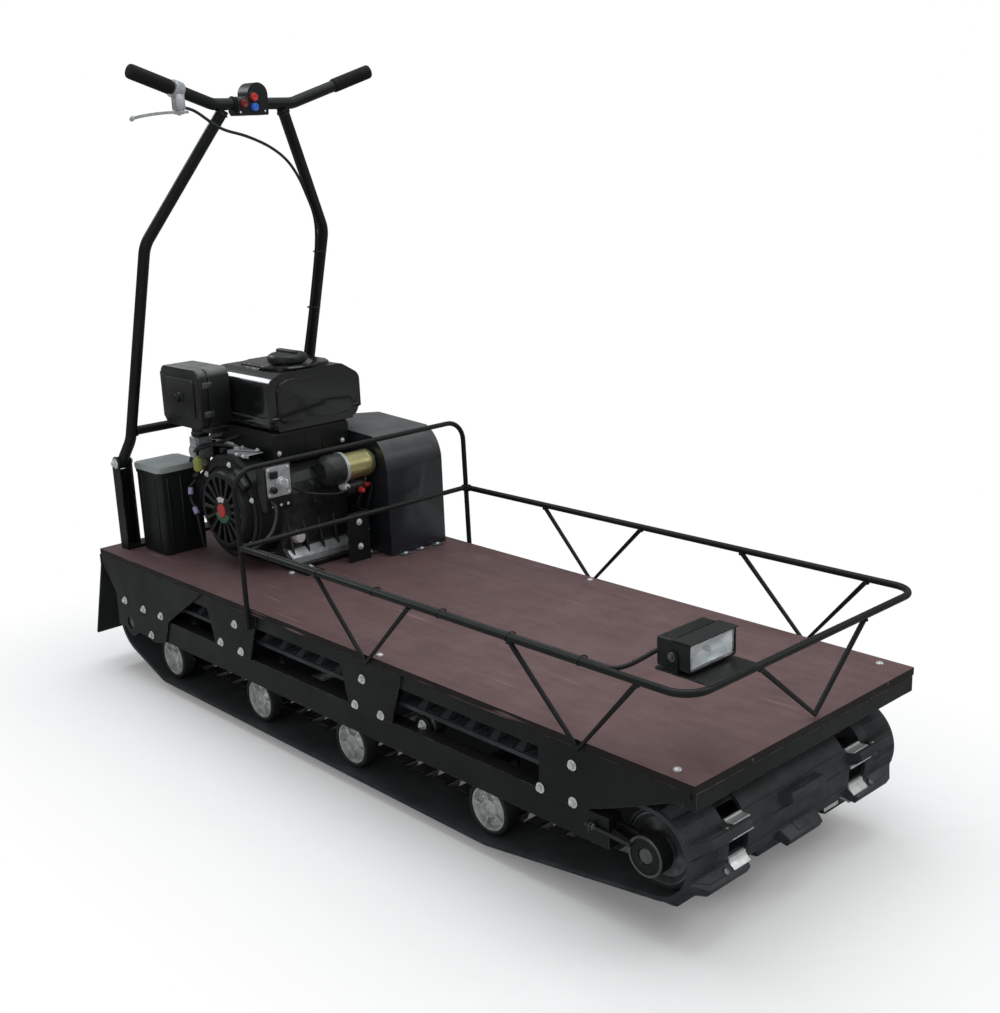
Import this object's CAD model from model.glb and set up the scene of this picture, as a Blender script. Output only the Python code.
"""Looks of the tracked snow tow vehicle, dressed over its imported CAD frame.

Shapes are drawn in metres from the deck's rear edge and middle line, as in the part, and every
finished mesh is moved into the row frame once, by SHIFT.
"""

import math

import bmesh
import bpy
from mathutils import Matrix, Vector


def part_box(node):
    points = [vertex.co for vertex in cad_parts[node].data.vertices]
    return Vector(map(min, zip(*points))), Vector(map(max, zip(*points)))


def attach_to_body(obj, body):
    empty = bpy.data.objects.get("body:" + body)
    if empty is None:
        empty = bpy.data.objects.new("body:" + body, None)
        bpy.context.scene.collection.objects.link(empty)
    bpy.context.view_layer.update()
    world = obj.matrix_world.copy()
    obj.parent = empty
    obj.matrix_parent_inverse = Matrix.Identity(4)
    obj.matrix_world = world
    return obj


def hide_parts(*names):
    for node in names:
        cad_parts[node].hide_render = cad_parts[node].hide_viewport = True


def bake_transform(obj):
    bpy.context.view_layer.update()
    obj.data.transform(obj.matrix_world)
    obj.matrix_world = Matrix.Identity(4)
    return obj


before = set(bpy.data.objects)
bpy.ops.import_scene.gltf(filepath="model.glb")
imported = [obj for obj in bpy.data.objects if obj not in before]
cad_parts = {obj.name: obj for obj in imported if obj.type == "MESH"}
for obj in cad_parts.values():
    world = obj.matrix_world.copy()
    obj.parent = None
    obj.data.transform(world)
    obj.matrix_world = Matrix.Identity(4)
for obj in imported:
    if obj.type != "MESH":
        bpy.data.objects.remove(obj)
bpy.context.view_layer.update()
DECK_LOW, DECK_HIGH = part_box("deck_board")
SHIFT = Vector((DECK_LOW.x, (DECK_LOW.y + DECK_HIGH.y) / 2, 0.0))

DECK_TOP = DECK_HIGH.z
DECK_LENGTH = DECK_HIGH.x - DECK_LOW.x
DECK_HALF = (DECK_HIGH.y - DECK_LOW.y) / 2
MERGE = 0.00002              # vertices closer than this are one


# Node helpers

def node(tree, kind, inputs=None, **settings):
    """New node, with its settings and its inputs: a socket is linked, anything else is set."""
    made = tree.nodes.new(kind)
    for name, value in settings.items():
        setattr(made, name, value)
    for key, value in (inputs or {}).items():
        socket = made.inputs[key]
        if isinstance(value, bpy.types.NodeSocket):
            tree.links.new(value, socket)
        else:
            socket.default_value = value
    return made


def new_tree(name, kind, inputs, outputs):
    """Empty node group, its input sockets and its output node.

    Each input is named with its default or its kind.
    """
    tree = bpy.data.node_groups.new(name, kind + "NodeTree")
    for label, given in inputs.items():
        socket_kind = {float: "Float", int: "Int"}.get(type(given), given)
        socket = tree.interface.new_socket(label, in_out="INPUT", socket_type=f"NodeSocket{socket_kind}")
        if socket_kind != given:
            socket.default_value = given
    for label, socket_kind in outputs.items():
        tree.interface.new_socket(label, in_out="OUTPUT", socket_type=f"NodeSocket{socket_kind}")
    return tree, tree.nodes.new("NodeGroupInput").outputs, tree.nodes.new("NodeGroupOutput")


def give(tree, result, **values):
    """Links values to the sockets of the same names, and returns the tree."""
    for label, value in values.items():
        tree.links.new(value, result.inputs[label])
    return tree


def new_look(name):
    """New material, its node tree and its shader."""
    look = bpy.data.materials.new(name)
    look.use_nodes = True
    return look, look.node_tree, look.node_tree.nodes["Principled BSDF"]


def maths(tree, operation, *values, clamp=False):
    made = node(tree, "ShaderNodeMath", dict(enumerate(values)), operation=operation, use_clamp=clamp)
    return made.outputs[0]


def vector_maths(tree, operation, *values):
    made = node(tree, "ShaderNodeVectorMath", dict(enumerate(values)), operation=operation)
    return made.outputs["Value" if operation == "DOT_PRODUCT" else 0]


def mix_colour(tree, share, first, second):
    return node(tree, "ShaderNodeMix", {0: share, 6: first, 7: second}, data_type="RGBA").outputs[2]


def mix_value(tree, share, first, second):
    return node(tree, "ShaderNodeMix", {0: share, 2: first, 3: second}).outputs[0]


def spread(tree, value, low, high, to_low=0.0, to_high=1.0):
    return node(tree, "ShaderNodeMapRange", {0: value, 1: low, 2: high, 3: to_low, 4: to_high}).outputs[0]


def object_place(tree):
    return node(tree, "ShaderNodeTexCoord").outputs["Object"]


def noise(tree, place, scale, detail=3.0, roughness=0.55):
    inputs = {"Vector": place, "Scale": scale, "Detail": detail, "Roughness": roughness}
    return node(tree, "ShaderNodeTexNoise", inputs).outputs["Fac"]


# Effects that the finishes share

def make_tone():
    """Slow drift between two colours."""
    tree, given, result = new_tree("tone_drift", "Shader", {"Light": "Color", "Dark": "Color", "Size": 8.0},
                                   {"Colour": "Color", "Mask": "Float"})
    broad = noise(tree, object_place(tree), given["Size"], 5.0, 0.6)
    mask = spread(tree, broad, 0.32, 0.68)
    return give(tree, result, Colour=mix_colour(tree, mask, given["Dark"], given["Light"]), Mask=mask)


def make_grain():
    """Fine surface grain as a height."""
    tree, given, result = new_tree("fine_grain", "Shader",
                                   {"Size": 600.0, "Coarse": 0.4}, {"Height": "Float"})
    place = object_place(tree)
    fine = noise(tree, place, given["Size"], 2.0)
    coarse = noise(tree, place, maths(tree, "MULTIPLY", given["Size"], 0.13), 3.0)
    return give(tree, result, Height=maths(tree, "ADD", fine,
                                           maths(tree, "MULTIPLY", coarse, given["Coarse"])))


def make_edges():
    """Rounded edges as a normal, and a broken mask of where they are rubbed bare."""
    tree, given, result = new_tree("rubbed_edges", "Shader", {"Radius": 0.001, "Amount": 0.5},
                                   {"Mask": "Float", "Normal": "Vector"})
    round_normal = node(tree, "ShaderNodeBevel", {"Radius": given["Radius"]}, samples=4).outputs["Normal"]
    flat_normal = node(tree, "ShaderNodeNewGeometry").outputs["Normal"]
    bend = maths(tree, "SUBTRACT", 1.0, vector_maths(tree, "DOT_PRODUCT", round_normal, flat_normal))
    patches = spread(tree, noise(tree, object_place(tree), 60.0, 4.0, 0.7), 0.42, 0.62)
    strength = maths(tree, "MULTIPLY", maths(tree, "MULTIPLY", bend, patches), given["Amount"])
    return give(tree, result, Mask=maths(tree, "MULTIPLY", strength, 9.0, clamp=True), Normal=round_normal)


def make_dust():
    """Pale film that settles on faces that look up."""
    tree, given, result = new_tree("settled_dust", "Shader", {"Amount": 0.2}, {"Mask": "Float"})
    normal = node(tree, "ShaderNodeNewGeometry").outputs["Normal"]
    up = maths(tree, "MAXIMUM", node(tree, "ShaderNodeSeparateXYZ", {0: normal}).outputs["Z"], 0.0)
    patches = spread(tree, noise(tree, object_place(tree), 22.0, 6.0, 0.65), 0.2, 0.8, 0.35, 1.0)
    film = maths(tree, "MULTIPLY", up, patches)
    return give(tree, result, Mask=maths(tree, "MULTIPLY", film, given["Amount"], clamp=True))


def make_scratches():
    """Thin scattered scratches along X, as a mask."""
    tree, given, result = new_tree("scratches", "Shader", {"Size": 40.0, "Amount": 0.5}, {"Mask": "Float"})
    place = node(tree, "ShaderNodeMapping", {0: object_place(tree), "Scale": (0.06, 1.0, 1.0),
                                             "Rotation": (0.0, 0.0, 0.12)}).outputs[0]
    lines = spread(tree, noise(tree, place, given["Size"], 2.0, 0.8), 0.66, 0.72)
    return give(tree, result, Mask=maths(tree, "MULTIPLY", lines, given["Amount"], clamp=True))


TONE = make_tone()
GRAIN = make_grain()
EDGES = make_edges()
DUST = make_dust()
SCRATCHES = make_scratches()
DUST_COLOUR = (0.3, 0.3, 0.29, 1.0)
BARE_STEEL = (0.33, 0.34, 0.34, 1.0)


def group(tree, effect, **inputs):
    """Outputs of a shared effect, used in a material."""
    return node(tree, "ShaderNodeGroup", inputs, node_tree=effect).outputs


def finish(name, light, dark, rough, metal=0.0, specular=0.5, drift=9.0, grain=700.0, depth=0.00012,
           edge=0.001, bare=0.0, bare_colour=BARE_STEEL, dust=0.15, scratch=0.0, coat=0.0, height=None,
           colour=None):
    """Material made of the shared effects; height and colour may add a pattern of the finish's own."""
    look, tree, shader = new_look(name)
    tone = group(tree, TONE, Light=(*light, 1.0), Dark=(*dark, 1.0), Size=drift)
    rubbed = group(tree, EDGES, Radius=edge, Amount=bare)
    settled = group(tree, DUST, Amount=dust)
    scored = group(tree, SCRATCHES, Size=55.0, Amount=scratch)
    base = colour(tree, tone["Colour"]) if colour else tone["Colour"]
    base = mix_colour(tree, scored["Mask"], base, (*[min(c * 2.2 + 0.03, 1.0) for c in light], 1.0))
    base = mix_colour(tree, rubbed["Mask"], base, bare_colour)
    base = mix_colour(tree, settled["Mask"], base, DUST_COLOUR)
    tree.links.new(base, shader.inputs["Base Color"])
    gloss = spread(tree, tone["Mask"], 0.0, 1.0, rough * 1.18, rough * 0.85)
    gloss = mix_value(tree, settled["Mask"], gloss, 0.85)
    tree.links.new(gloss, shader.inputs["Roughness"])
    if metal or bare:
        tree.links.new(mix_value(tree, rubbed["Mask"], metal, 0.9 if bare else metal),
                       shader.inputs["Metallic"])
    surface = group(tree, GRAIN, Size=grain)["Height"]
    if height:
        surface = maths(tree, "ADD", surface, height(tree))
    bump = node(tree, "ShaderNodeBump", {"Strength": 0.6, "Distance": depth, "Height": surface,
                                         "Normal": rubbed["Normal"]})
    tree.links.new(bump.outputs[0], shader.inputs["Normal"])
    shader.inputs["Specular IOR Level"].default_value = specular
    if coat:
        shader.inputs["Coat Roughness"].default_value = 0.08
        tree.links.new(mix_value(tree, settled["Mask"], coat, 0.0), shader.inputs["Coat Weight"])
    return look


# Patterns of single finishes

def film_mesh(tree):
    """Fine wire-mesh print of the deck's film."""
    place = node(tree, "ShaderNodeSeparateXYZ", {0: object_place(tree)}).outputs
    waves = [maths(tree, "SINE", maths(tree, "MULTIPLY", place[axis], math.tau / 0.0045))
             for axis in ("X", "Y")]
    return maths(tree, "MULTIPLY", maths(tree, "MULTIPLY", waves[0], waves[1]), 1.2)


def ply_colour(tree, face):
    """Printed film on the deck's faces and sealed layers on its edges."""
    place = object_place(tree)
    normal = node(tree, "ShaderNodeNewGeometry").outputs["Normal"]
    flat = maths(tree, "ABSOLUTE", node(tree, "ShaderNodeSeparateXYZ", {0: normal}).outputs["Z"])
    layer = maths(tree, "FRACT", maths(tree, "MULTIPLY",
                                       node(tree, "ShaderNodeSeparateXYZ", {0: place}).outputs["Z"], 380.0))
    edge = mix_colour(tree, spread(tree, layer, 0.35, 0.6), (0.008, 0.007, 0.007, 1.0),
                      (0.02, 0.014, 0.012, 1.0))
    streaked = node(tree, "ShaderNodeMapping", {0: place, "Scale": (0.12, 1.0, 1.0)}).outputs[0]
    streaks = spread(tree, noise(tree, streaked, 55.0, 5.0, 0.7), 0.3, 0.7)
    face = mix_colour(tree, maths(tree, "MULTIPLY", streaks, 0.45), face, (0.2, 0.13, 0.13, 1.0))
    rear = spread(tree, node(tree, "ShaderNodeSeparateXYZ", {0: place}).outputs["X"], -0.45, 0.25, 0.55, 0.0)
    face = mix_colour(tree, rear, face, (0.085, 0.042, 0.042, 1.0))
    return mix_colour(tree, spread(tree, flat, 0.4, 0.6), edge, face)


def pits(tree, scale=420.0, depth=0.8):
    """Pitted skin of a casting."""
    cells = node(tree, "ShaderNodeTexVoronoi", {"Vector": object_place(tree), "Scale": scale})
    return maths(tree, "MULTIPLY", cells.outputs["Distance"], depth)


def pores(tree):
    """Open cells of foam."""
    return pits(tree, 900.0, 1.4)


def make_glass():
    """Clear pressed glass of the headlight."""
    look, tree, shader = new_look("lamp_glass")
    tone = group(tree, TONE, Light=(0.93, 0.95, 0.96, 1.0), Dark=(0.8, 0.84, 0.86, 1.0), Size=40.0)
    tree.links.new(tone["Colour"], shader.inputs["Base Color"])
    tree.links.new(spread(tree, tone["Mask"], 0.0, 1.0, 0.09, 0.03), shader.inputs["Roughness"])
    surface = group(tree, GRAIN, Size=260.0)["Height"]
    bump = node(tree, "ShaderNodeBump", {"Strength": 0.25, "Distance": 0.0001, "Height": surface})
    tree.links.new(bump.outputs[0], shader.inputs["Normal"])
    shader.inputs["Transmission Weight"].default_value = 0.85
    shader.inputs["IOR"].default_value = 1.47
    return look


def key_plastic(name, light, dark, rough=0.32):
    """Shiny moulded plastic of buttons and boots."""
    return finish(name, light, dark, rough, grain=900.0, depth=0.00005, edge=0.0006, dust=0.05)


def hose_plastic(name, light, dark):
    """Duller plastic of sleeves and tags."""
    return finish(name, light, dark, 0.4, grain=700.0, depth=0.00005)


POWDER = finish("powder_black", (0.009, 0.0108, 0.0098), (0.0052, 0.0062, 0.0056), 0.4, specular=0.24,
                grain=1100.0, edge=0.0012, bare=0.25, dust=0.05)
FILM = finish("deck_film", (0.158, 0.088, 0.086), (0.112, 0.061, 0.06), 0.5, specular=0.18,
              drift=14.0, grain=300.0, depth=0.0001, edge=0.0008, dust=0.07, scratch=0.35,
              height=film_mesh, colour=ply_colour)
BELT_RUBBER = finish("track_rubber", (0.03, 0.04, 0.047), (0.011, 0.014, 0.017), 0.46, specular=0.38,
                     drift=16.0, grain=420.0, depth=0.00025, edge=0.001, bare=0.55,
                     bare_colour=(0.085, 0.1, 0.105, 1.0), dust=0.16)
FLAP_RUBBER = finish("flap_rubber", (0.022, 0.024, 0.026), (0.011, 0.012, 0.013), 0.68, specular=0.3,
                     grain=260.0, depth=0.0003, dust=0.2, scratch=0.3)
TYRE = finish("wheel_rubber", (0.02, 0.022, 0.024), (0.01, 0.011, 0.012), 0.62, specular=0.3, grain=500.0,
              depth=0.0002, bare=0.3, bare_colour=(0.07, 0.07, 0.07, 1.0), dust=0.15)
DISC = finish("wheel_zinc", (0.66, 0.7, 0.67), (0.32, 0.35, 0.33), 0.34, metal=0.55, drift=75.0, grain=900.0,
              depth=0.00008, dust=0.12, scratch=0.3)
ZINC = finish("bolt_zinc", (0.88, 0.9, 0.9), (0.62, 0.64, 0.64), 0.32, metal=0.5, drift=90.0, grain=1500.0,
              depth=0.00004, edge=0.0005, dust=0.08)
STEEL = finish("dark_steel", (0.2, 0.21, 0.21), (0.1, 0.105, 0.11), 0.36, metal=0.85, drift=40.0, grain=900.0,
               depth=0.00006, dust=0.1, scratch=0.4)
GLOSS = finish("engine_gloss", (0.0065, 0.0075, 0.008), (0.004, 0.0046, 0.005), 0.15, specular=0.5,
               grain=160.0, depth=0.00006, edge=0.0014, dust=0.06, coat=0.5)
SATIN = finish("engine_satin", (0.008, 0.0092, 0.0095), (0.0048, 0.0055, 0.0058), 0.38, specular=0.38,
               grain=1300.0, depth=0.00012, edge=0.0012, dust=0.05)
CAST = finish("cast_alloy", (0.05, 0.056, 0.053), (0.018, 0.021, 0.02), 0.42, metal=0.55, drift=30.0,
              grain=500.0, depth=0.00022, edge=0.0012, bare=0.3, bare_colour=(0.45, 0.46, 0.46, 1.0),
              dust=0.12, height=pits)
BRIGHT_CAST = finish("bright_cast", (0.6, 0.62, 0.64), (0.34, 0.36, 0.37), 0.38, metal=0.55, drift=60.0,
                     grain=520.0, depth=0.0002, dust=0.08, height=pits)
YELLOW_ZINC = finish("yellow_zinc", (0.66, 0.58, 0.27), (0.46, 0.42, 0.2), 0.3, metal=0.85, drift=34.0,
                     grain=900.0, depth=0.00008, edge=0.0008, dust=0.08)
SLATE = finish("cover_slate", (0.017, 0.0225, 0.0275), (0.011, 0.015, 0.0185), 0.3, specular=0.5, drift=7.0,
               grain=1200.0, depth=0.00008, edge=0.0016, bare=0.12, dust=0.45)
PLASTIC = finish("black_plastic", (0.01, 0.0112, 0.0118), (0.006, 0.0068, 0.0072), 0.38, specular=0.38,
                 grain=1500.0, depth=0.00012, edge=0.001, dust=0.12)
BOX_PLASTIC = finish("box_plastic", (0.0115, 0.015, 0.0145), (0.007, 0.0092, 0.0088), 0.45, specular=0.35,
                     grain=900.0, depth=0.00018, edge=0.0014, dust=0.2)
LID_PLASTIC = finish("lid_plastic", (0.33, 0.37, 0.36), (0.25, 0.285, 0.275), 0.45, specular=0.35,
                     grain=900.0, depth=0.00018, edge=0.0014, dust=0.45)
DUSTY_SATIN = finish("cleaner_satin", (0.008, 0.0092, 0.0095), (0.0048, 0.0055, 0.0058), 0.36, specular=0.4,
                     grain=1300.0, depth=0.00012, edge=0.0014, dust=0.9)
OLIVE = finish("fan_olive", (0.034, 0.033, 0.012), (0.014, 0.014, 0.007), 0.45, metal=0.3,
               drift=60.0, grain=700.0)
FOAM = finish("grip_foam", (0.01, 0.01, 0.01), (0.0055, 0.0055, 0.0055), 0.85, specular=0.25, grain=700.0,
              depth=0.0004, dust=0.08, height=pores)
RED = key_plastic("red_plastic", (0.52, 0.028, 0.022), (0.33, 0.015, 0.012))
DARK_RED = key_plastic("dark_red_plastic", (0.17, 0.014, 0.012), (0.09, 0.008, 0.007), 0.36)
BLUE = key_plastic("blue_plastic", (0.03, 0.12, 0.56), (0.015, 0.07, 0.36))
GREEN = hose_plastic("green_plastic", (0.03, 0.15, 0.06), (0.015, 0.08, 0.03))
YELLOW = hose_plastic("yellow_green_plastic", (0.3, 0.32, 0.06), (0.19, 0.2, 0.04))
LILAC = hose_plastic("lilac_plastic", (0.34, 0.3, 0.48), (0.22, 0.19, 0.33))
BOOT = finish("white_rubber", (0.62, 0.6, 0.58), (0.45, 0.43, 0.42), 0.55, grain=500.0, depth=0.0001)
CORD = finish("cord_black", (0.0095, 0.0095, 0.01), (0.0055, 0.0055, 0.006), 0.42, specular=0.4, grain=900.0,
              depth=0.0001, dust=0.12)
MIRROR = finish("lamp_reflector", (0.9, 0.92, 0.92), (0.66, 0.69, 0.7), 0.16, metal=0.45, drift=60.0,
                grain=120.0, depth=0.0002, edge=0.0004, dust=0.02)
GLASS = make_glass()

NODE_LOOKS = {"frame_black": POWDER, "plywood": FILM, "track_rubber": BELT_RUBBER,
              "flap_rubber": FLAP_RUBBER, "wheel_rubber": TYRE, "wheel_metal": DISC, "zinc": ZINC,
              "steel": STEEL, "engine_black": SATIN, "cast_alloy": CAST, "starter_zinc": YELLOW_ZINC,
              "cover_slate": SLATE, "black_plastic": PLASTIC, "grip_foam": FOAM, "red_plastic": RED,
              "blue_plastic": BLUE, "clear_glass": GLASS, "cord_black": CORD}


def dress_nodes():
    """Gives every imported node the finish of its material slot."""
    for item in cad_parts.values():
        for place in item.material_slots:
            if place.material:
                place.material = NODE_LOOKS.get(place.material.name.split(".")[0], PLASTIC)


# Shape helpers

# A point from its places across, up and along, for each axis that along may follow
AXES = {"X": lambda across, up, along: (along, across, up),
        "Y": lambda across, up, along: (across, along, up),
        "Z": lambda across, up, along: (across, up, along)}


def arc(centre, radius, start, sweep, steps):
    """Points on an arc, angles in degrees."""
    points = []
    for i in range(steps + 1):
        angle = math.radians(start + sweep * i / steps)
        points.append((centre[0] + radius * math.cos(angle), centre[1] + radius * math.sin(angle)))
    return points


def smoothed(points, radius, steps=6, closed=False):
    """Polyline with its corners rounded."""
    points = [Vector(p) for p in points]
    result = []
    count = len(points)
    for i, point in enumerate(points):
        if not closed and i in (0, count - 1):
            result.append(point)
            continue
        before = points[i - 1] - point
        after = points[(i + 1) % count] - point
        back, ahead = before.normalized(), after.normalized()
        half = back.angle(ahead) / 2
        reach = min(radius / math.tan(half), before.length * 0.48, after.length * 0.48)
        middle = point + (back + ahead).normalized() * (reach * math.tan(half) / math.sin(half))
        start = point + back * reach - middle
        end = point + ahead * reach - middle
        turn = start.angle(end)
        for k in range(steps + 1):
            share = k / steps
            spoke = start * math.sin((1 - share) * turn) + end * math.sin(share * turn)
            result.append(middle + spoke / math.sin(turn))
    return result


def rounded(points, radius, steps=5):
    """Flat closed outline with its corners rounded."""
    return [(p.x, p.y) for p in smoothed([(a, b, 0.0) for a, b in points], radius, steps, closed=True)]


def spoke(centre, angle, corners):
    """Outline that points out from a centre, from (radius, across) corners; angle in radians."""
    return [(centre[0] + radius * math.cos(angle) - across * math.sin(angle),
             centre[1] + radius * math.sin(angle) + across * math.cos(angle)) for radius, across in corners]


def rectangle(low, high, radius=0.0, steps=5):
    corners = [(low[0], low[1]), (high[0], low[1]), (high[0], high[1]), (low[0], high[1])]
    return rounded(corners, radius, steps) if radius else corners


def smooth_route(points, spacing):
    """Even points on a Catmull-Rom curve through the given ones."""
    points = [Vector(p) for p in points]
    ends = [points[0] * 2 - points[1], *points, points[-1] * 2 - points[-2]]
    route = [points[0]]
    for a, b, c, d in zip(ends, ends[1:], ends[2:], ends[3:]):
        count = max(1, round((c - b).length / spacing))
        for k in range(1, count + 1):
            t = k / count
            route.append((b * 2 + (c - a) * t + (a * 2 - b * 5 + c * 4 - d) * t * t
                          + (b * 3 - a - c * 3 + d) * t * t * t) / 2)
    return route


def eased(route, passes):
    """The route with its tight bends opened; its two ends stay."""
    for _ in range(passes):
        middle = [(a + b * 2 + c) / 4 for a, b, c in zip(route, route[1:], route[2:])]
        route = [route[0], *middle, route[-1]]
    return route


def prism(outline, axis, low, high, soft=0.0, segments=3):
    """Solid with one outline, square to the axis, its two rims rounded by soft."""
    shape = bmesh.new()
    rings = []
    for along in (low, high):
        rings.append([shape.verts.new(AXES[axis](a, b, along)) for a, b in outline])
    caps = [shape.faces.new(ring) for ring in rings]
    for i in range(len(outline)):
        j = (i + 1) % len(outline)
        shape.faces.new((rings[0][i], rings[0][j], rings[1][j], rings[1][i]))
    if soft:
        rims = [edge for cap in caps for edge in cap.edges]
        bmesh.ops.bevel(shape, geom=rims, offset=soft, segments=segments, profile=0.5, affect="EDGES")
    return shape


def block(low, high, soft=0.0, segments=2):
    """Box with every edge rounded."""
    shape = prism(rectangle(low, high), "Z", low[2], high[2])
    if soft:
        bmesh.ops.bevel(shape, geom=shape.edges[:], offset=soft, segments=segments,
                        profile=0.5, affect="EDGES")
    return shape


def lofted(rings):
    """Closed solid through rings of as many points each."""
    shape = bmesh.new()
    rows = [[shape.verts.new(point) for point in ring] for ring in rings]
    for first, second in zip(rows, rows[1:]):
        for i in range(len(first)):
            j = (i + 1) % len(first)
            shape.faces.new((first[i], first[j], second[j], second[i]))
    for end in (rows[0], rows[-1]):
        shape.faces.new(end)
    return shape


def turned(profile, centre, axis="Y", sides=40, ring=False, start=0.0):
    """Solid of revolution from (radius, along) points; along counts from start.

    The profile is closed to the axis at both ends, or onto itself as a ring.
    """
    if not ring:
        first, last = profile[0], profile[-1]
        profile = [(0, first[1])] * (first[0] != 0) + profile + [(0, last[1])] * (last[0] != 0)
    shape = bmesh.new()
    rows = []
    for radius, along in profile:
        if radius == 0:
            rows.append([shape.verts.new(AXES[axis](*centre, start + along))])
            continue
        circle = arc(centre, radius, 0, 360, sides)[:-1]
        rows.append([shape.verts.new(AXES[axis](a, b, start + along)) for a, b in circle])
    pairs = list(zip(rows, rows[1:]))
    if ring:
        pairs.append((rows[-1], rows[0]))
    for first, second in pairs:
        for i in range(sides):
            corners = []
            for row, index in ((first, i), (first, i + 1), (second, i + 1), (second, i)):
                vertex = row[index % len(row)]
                if vertex not in corners:
                    corners.append(vertex)
            shape.faces.new(corners)
    return shape


def joined(*shapes):
    """All shapes in one mesh."""
    whole = shapes[0]
    for shape in shapes[1:]:
        mesh = bpy.data.meshes.new("part")
        shape.to_mesh(mesh)
        shape.free()
        whole.from_mesh(mesh)
        bpy.data.meshes.remove(mesh)
    return whole


def moved(shape, matrix):
    bmesh.ops.transform(shape, matrix=matrix, verts=shape.verts)
    return shape


def linked(name, data):
    """New object in the scene."""
    item = bpy.data.objects.new(name, data)
    bpy.context.scene.collection.objects.link(item)
    return item


def shaded(name, mesh, look, angle):
    """Object of one finish, smooth but for the edges sharper than the angle."""
    mesh.materials.append(look)
    mesh.shade_smooth()
    mesh.set_sharp_from_angle(angle=math.radians(angle))
    return linked(name, mesh)


def ball(centre, radius):
    shape = bmesh.new()
    bmesh.ops.create_uvsphere(shape, u_segments=20, v_segments=14, radius=radius)
    return moved(shape, Matrix.Translation(centre))


def to_object(shape, name, look, angle=35.0):
    """Mesh object with doubles merged and faces outwards."""
    bmesh.ops.remove_doubles(shape, verts=shape.verts, dist=MERGE)
    bmesh.ops.recalc_face_normals(shape, faces=shape.faces)
    mesh = bpy.data.meshes.new(name)
    shape.to_mesh(mesh)
    shape.free()
    return shaded(name, mesh, look, angle)


def attach(item, body, *cad_nodes):
    """Moves a finished mesh into the row frame and hangs it on its body."""
    item.data.transform(Matrix.Translation(SHIFT))
    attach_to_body(item, body)
    if cad_nodes:
        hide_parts(*cad_nodes)
    return item


def piece(shape, name, look, *cad_nodes, body="chassis", angle=35.0):
    """Finished piece of the scene on its body, in place of the CAD nodes named."""
    return attach(to_object(shape, name, look, angle), body, *cad_nodes)


def settled(item, name, look, angle=35.0):
    """Plain mesh object made from what an object's modifiers give."""
    graph = bpy.context.evaluated_depsgraph_get()
    mesh = bpy.data.meshes.new_from_object(item.evaluated_get(graph))
    bpy.data.objects.remove(item)
    mesh.name = name
    mesh.materials.clear()
    for face in mesh.polygons:
        face.material_index = 0
    return shaded(name, mesh, look, angle)


# Geometry Nodes trees

def set_input(change, label, value):
    """Sets a modifier's input by the name that its tree gives it."""
    for socket in change.node_group.interface.items_tree:
        if socket.item_type == "SOCKET" and socket.in_out == "INPUT" and socket.name == label:
            change[socket.identifier] = value
            return
    raise KeyError(label)


def run_tree(item, tree, name, look, angle=35.0, **inputs):
    """Runs a tree on an object and returns the plain mesh object that it makes."""
    change = item.modifiers.new(tree.name, "NODES")
    change.node_group = tree
    for label, value in {"Finish": look, **inputs}.items():
        set_input(change, label.replace("_", " "), value)
    return settled(item, name, look, angle)


def end_tree(tree, given, result, geometry):
    """Ends a tree with plain geometry in one finish."""
    solid = node(tree, "GeometryNodeRealizeInstances", {0: geometry})
    painted = node(tree, "GeometryNodeSetMaterial", {0: solid.outputs[0], "Material": given["Finish"]})
    tree.links.new(painted.outputs[0], result.inputs[0])


def make_rods():
    """Round rods along curves, with an optional ripple as on a conduit."""
    tree, given, result = new_tree("rods", "Geometry", {"Paths": "Geometry", "Radius": 0.005, "Sides": 16,
                                                        "Ripple": 0.0, "Ripple Length": 0.004,
                                                        "Finish": "Material"}, {"Mesh": "Geometry"})
    along = node(tree, "GeometryNodeSplineParameter").outputs["Length"]
    turn = maths(tree, "DIVIDE", maths(tree, "MULTIPLY", along, math.tau), given["Ripple Length"])
    wave = maths(tree, "MULTIPLY", maths(tree, "SINE", turn), given["Ripple"])
    ring = node(tree, "GeometryNodeCurvePrimitiveCircle", {"Resolution": given["Sides"],
                                                           "Radius": given["Radius"]})
    swell = maths(tree, "ADD", wave, 1.0)
    tube = node(tree, "GeometryNodeCurveToMesh", {"Curve": given["Paths"], "Profile Curve": ring.outputs[0],
                                                  "Scale": swell, "Fill Caps": True})
    end_tree(tree, given, result, tube.outputs[0])
    return tree


def make_copies():
    """A template set on every point of a mesh, turned to the point's axis and scaled by its size."""
    tree, given, result = new_tree("copies_on_points", "Geometry", {"Points": "Geometry",
                                                                    "Template": "Object",
                                                                    "Finish": "Material"},
                                   {"Mesh": "Geometry"})
    axis = node(tree, "GeometryNodeInputNamedAttribute", {"Name": "axis"},
                data_type="FLOAT_VECTOR").outputs[0]
    size = node(tree, "GeometryNodeInputNamedAttribute", {"Name": "size"}, data_type="FLOAT").outputs[0]
    turn = node(tree, "FunctionNodeAlignRotationToVector", {"Vector": axis}, axis="Z").outputs[0]
    source = node(tree, "GeometryNodeObjectInfo", {"Object": given["Template"]}).outputs["Geometry"]
    copies = node(tree, "GeometryNodeInstanceOnPoints", {"Points": given["Points"], "Instance": source,
                                                         "Rotation": turn, "Scale": size})
    end_tree(tree, given, result, copies.outputs[0])
    return tree


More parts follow.
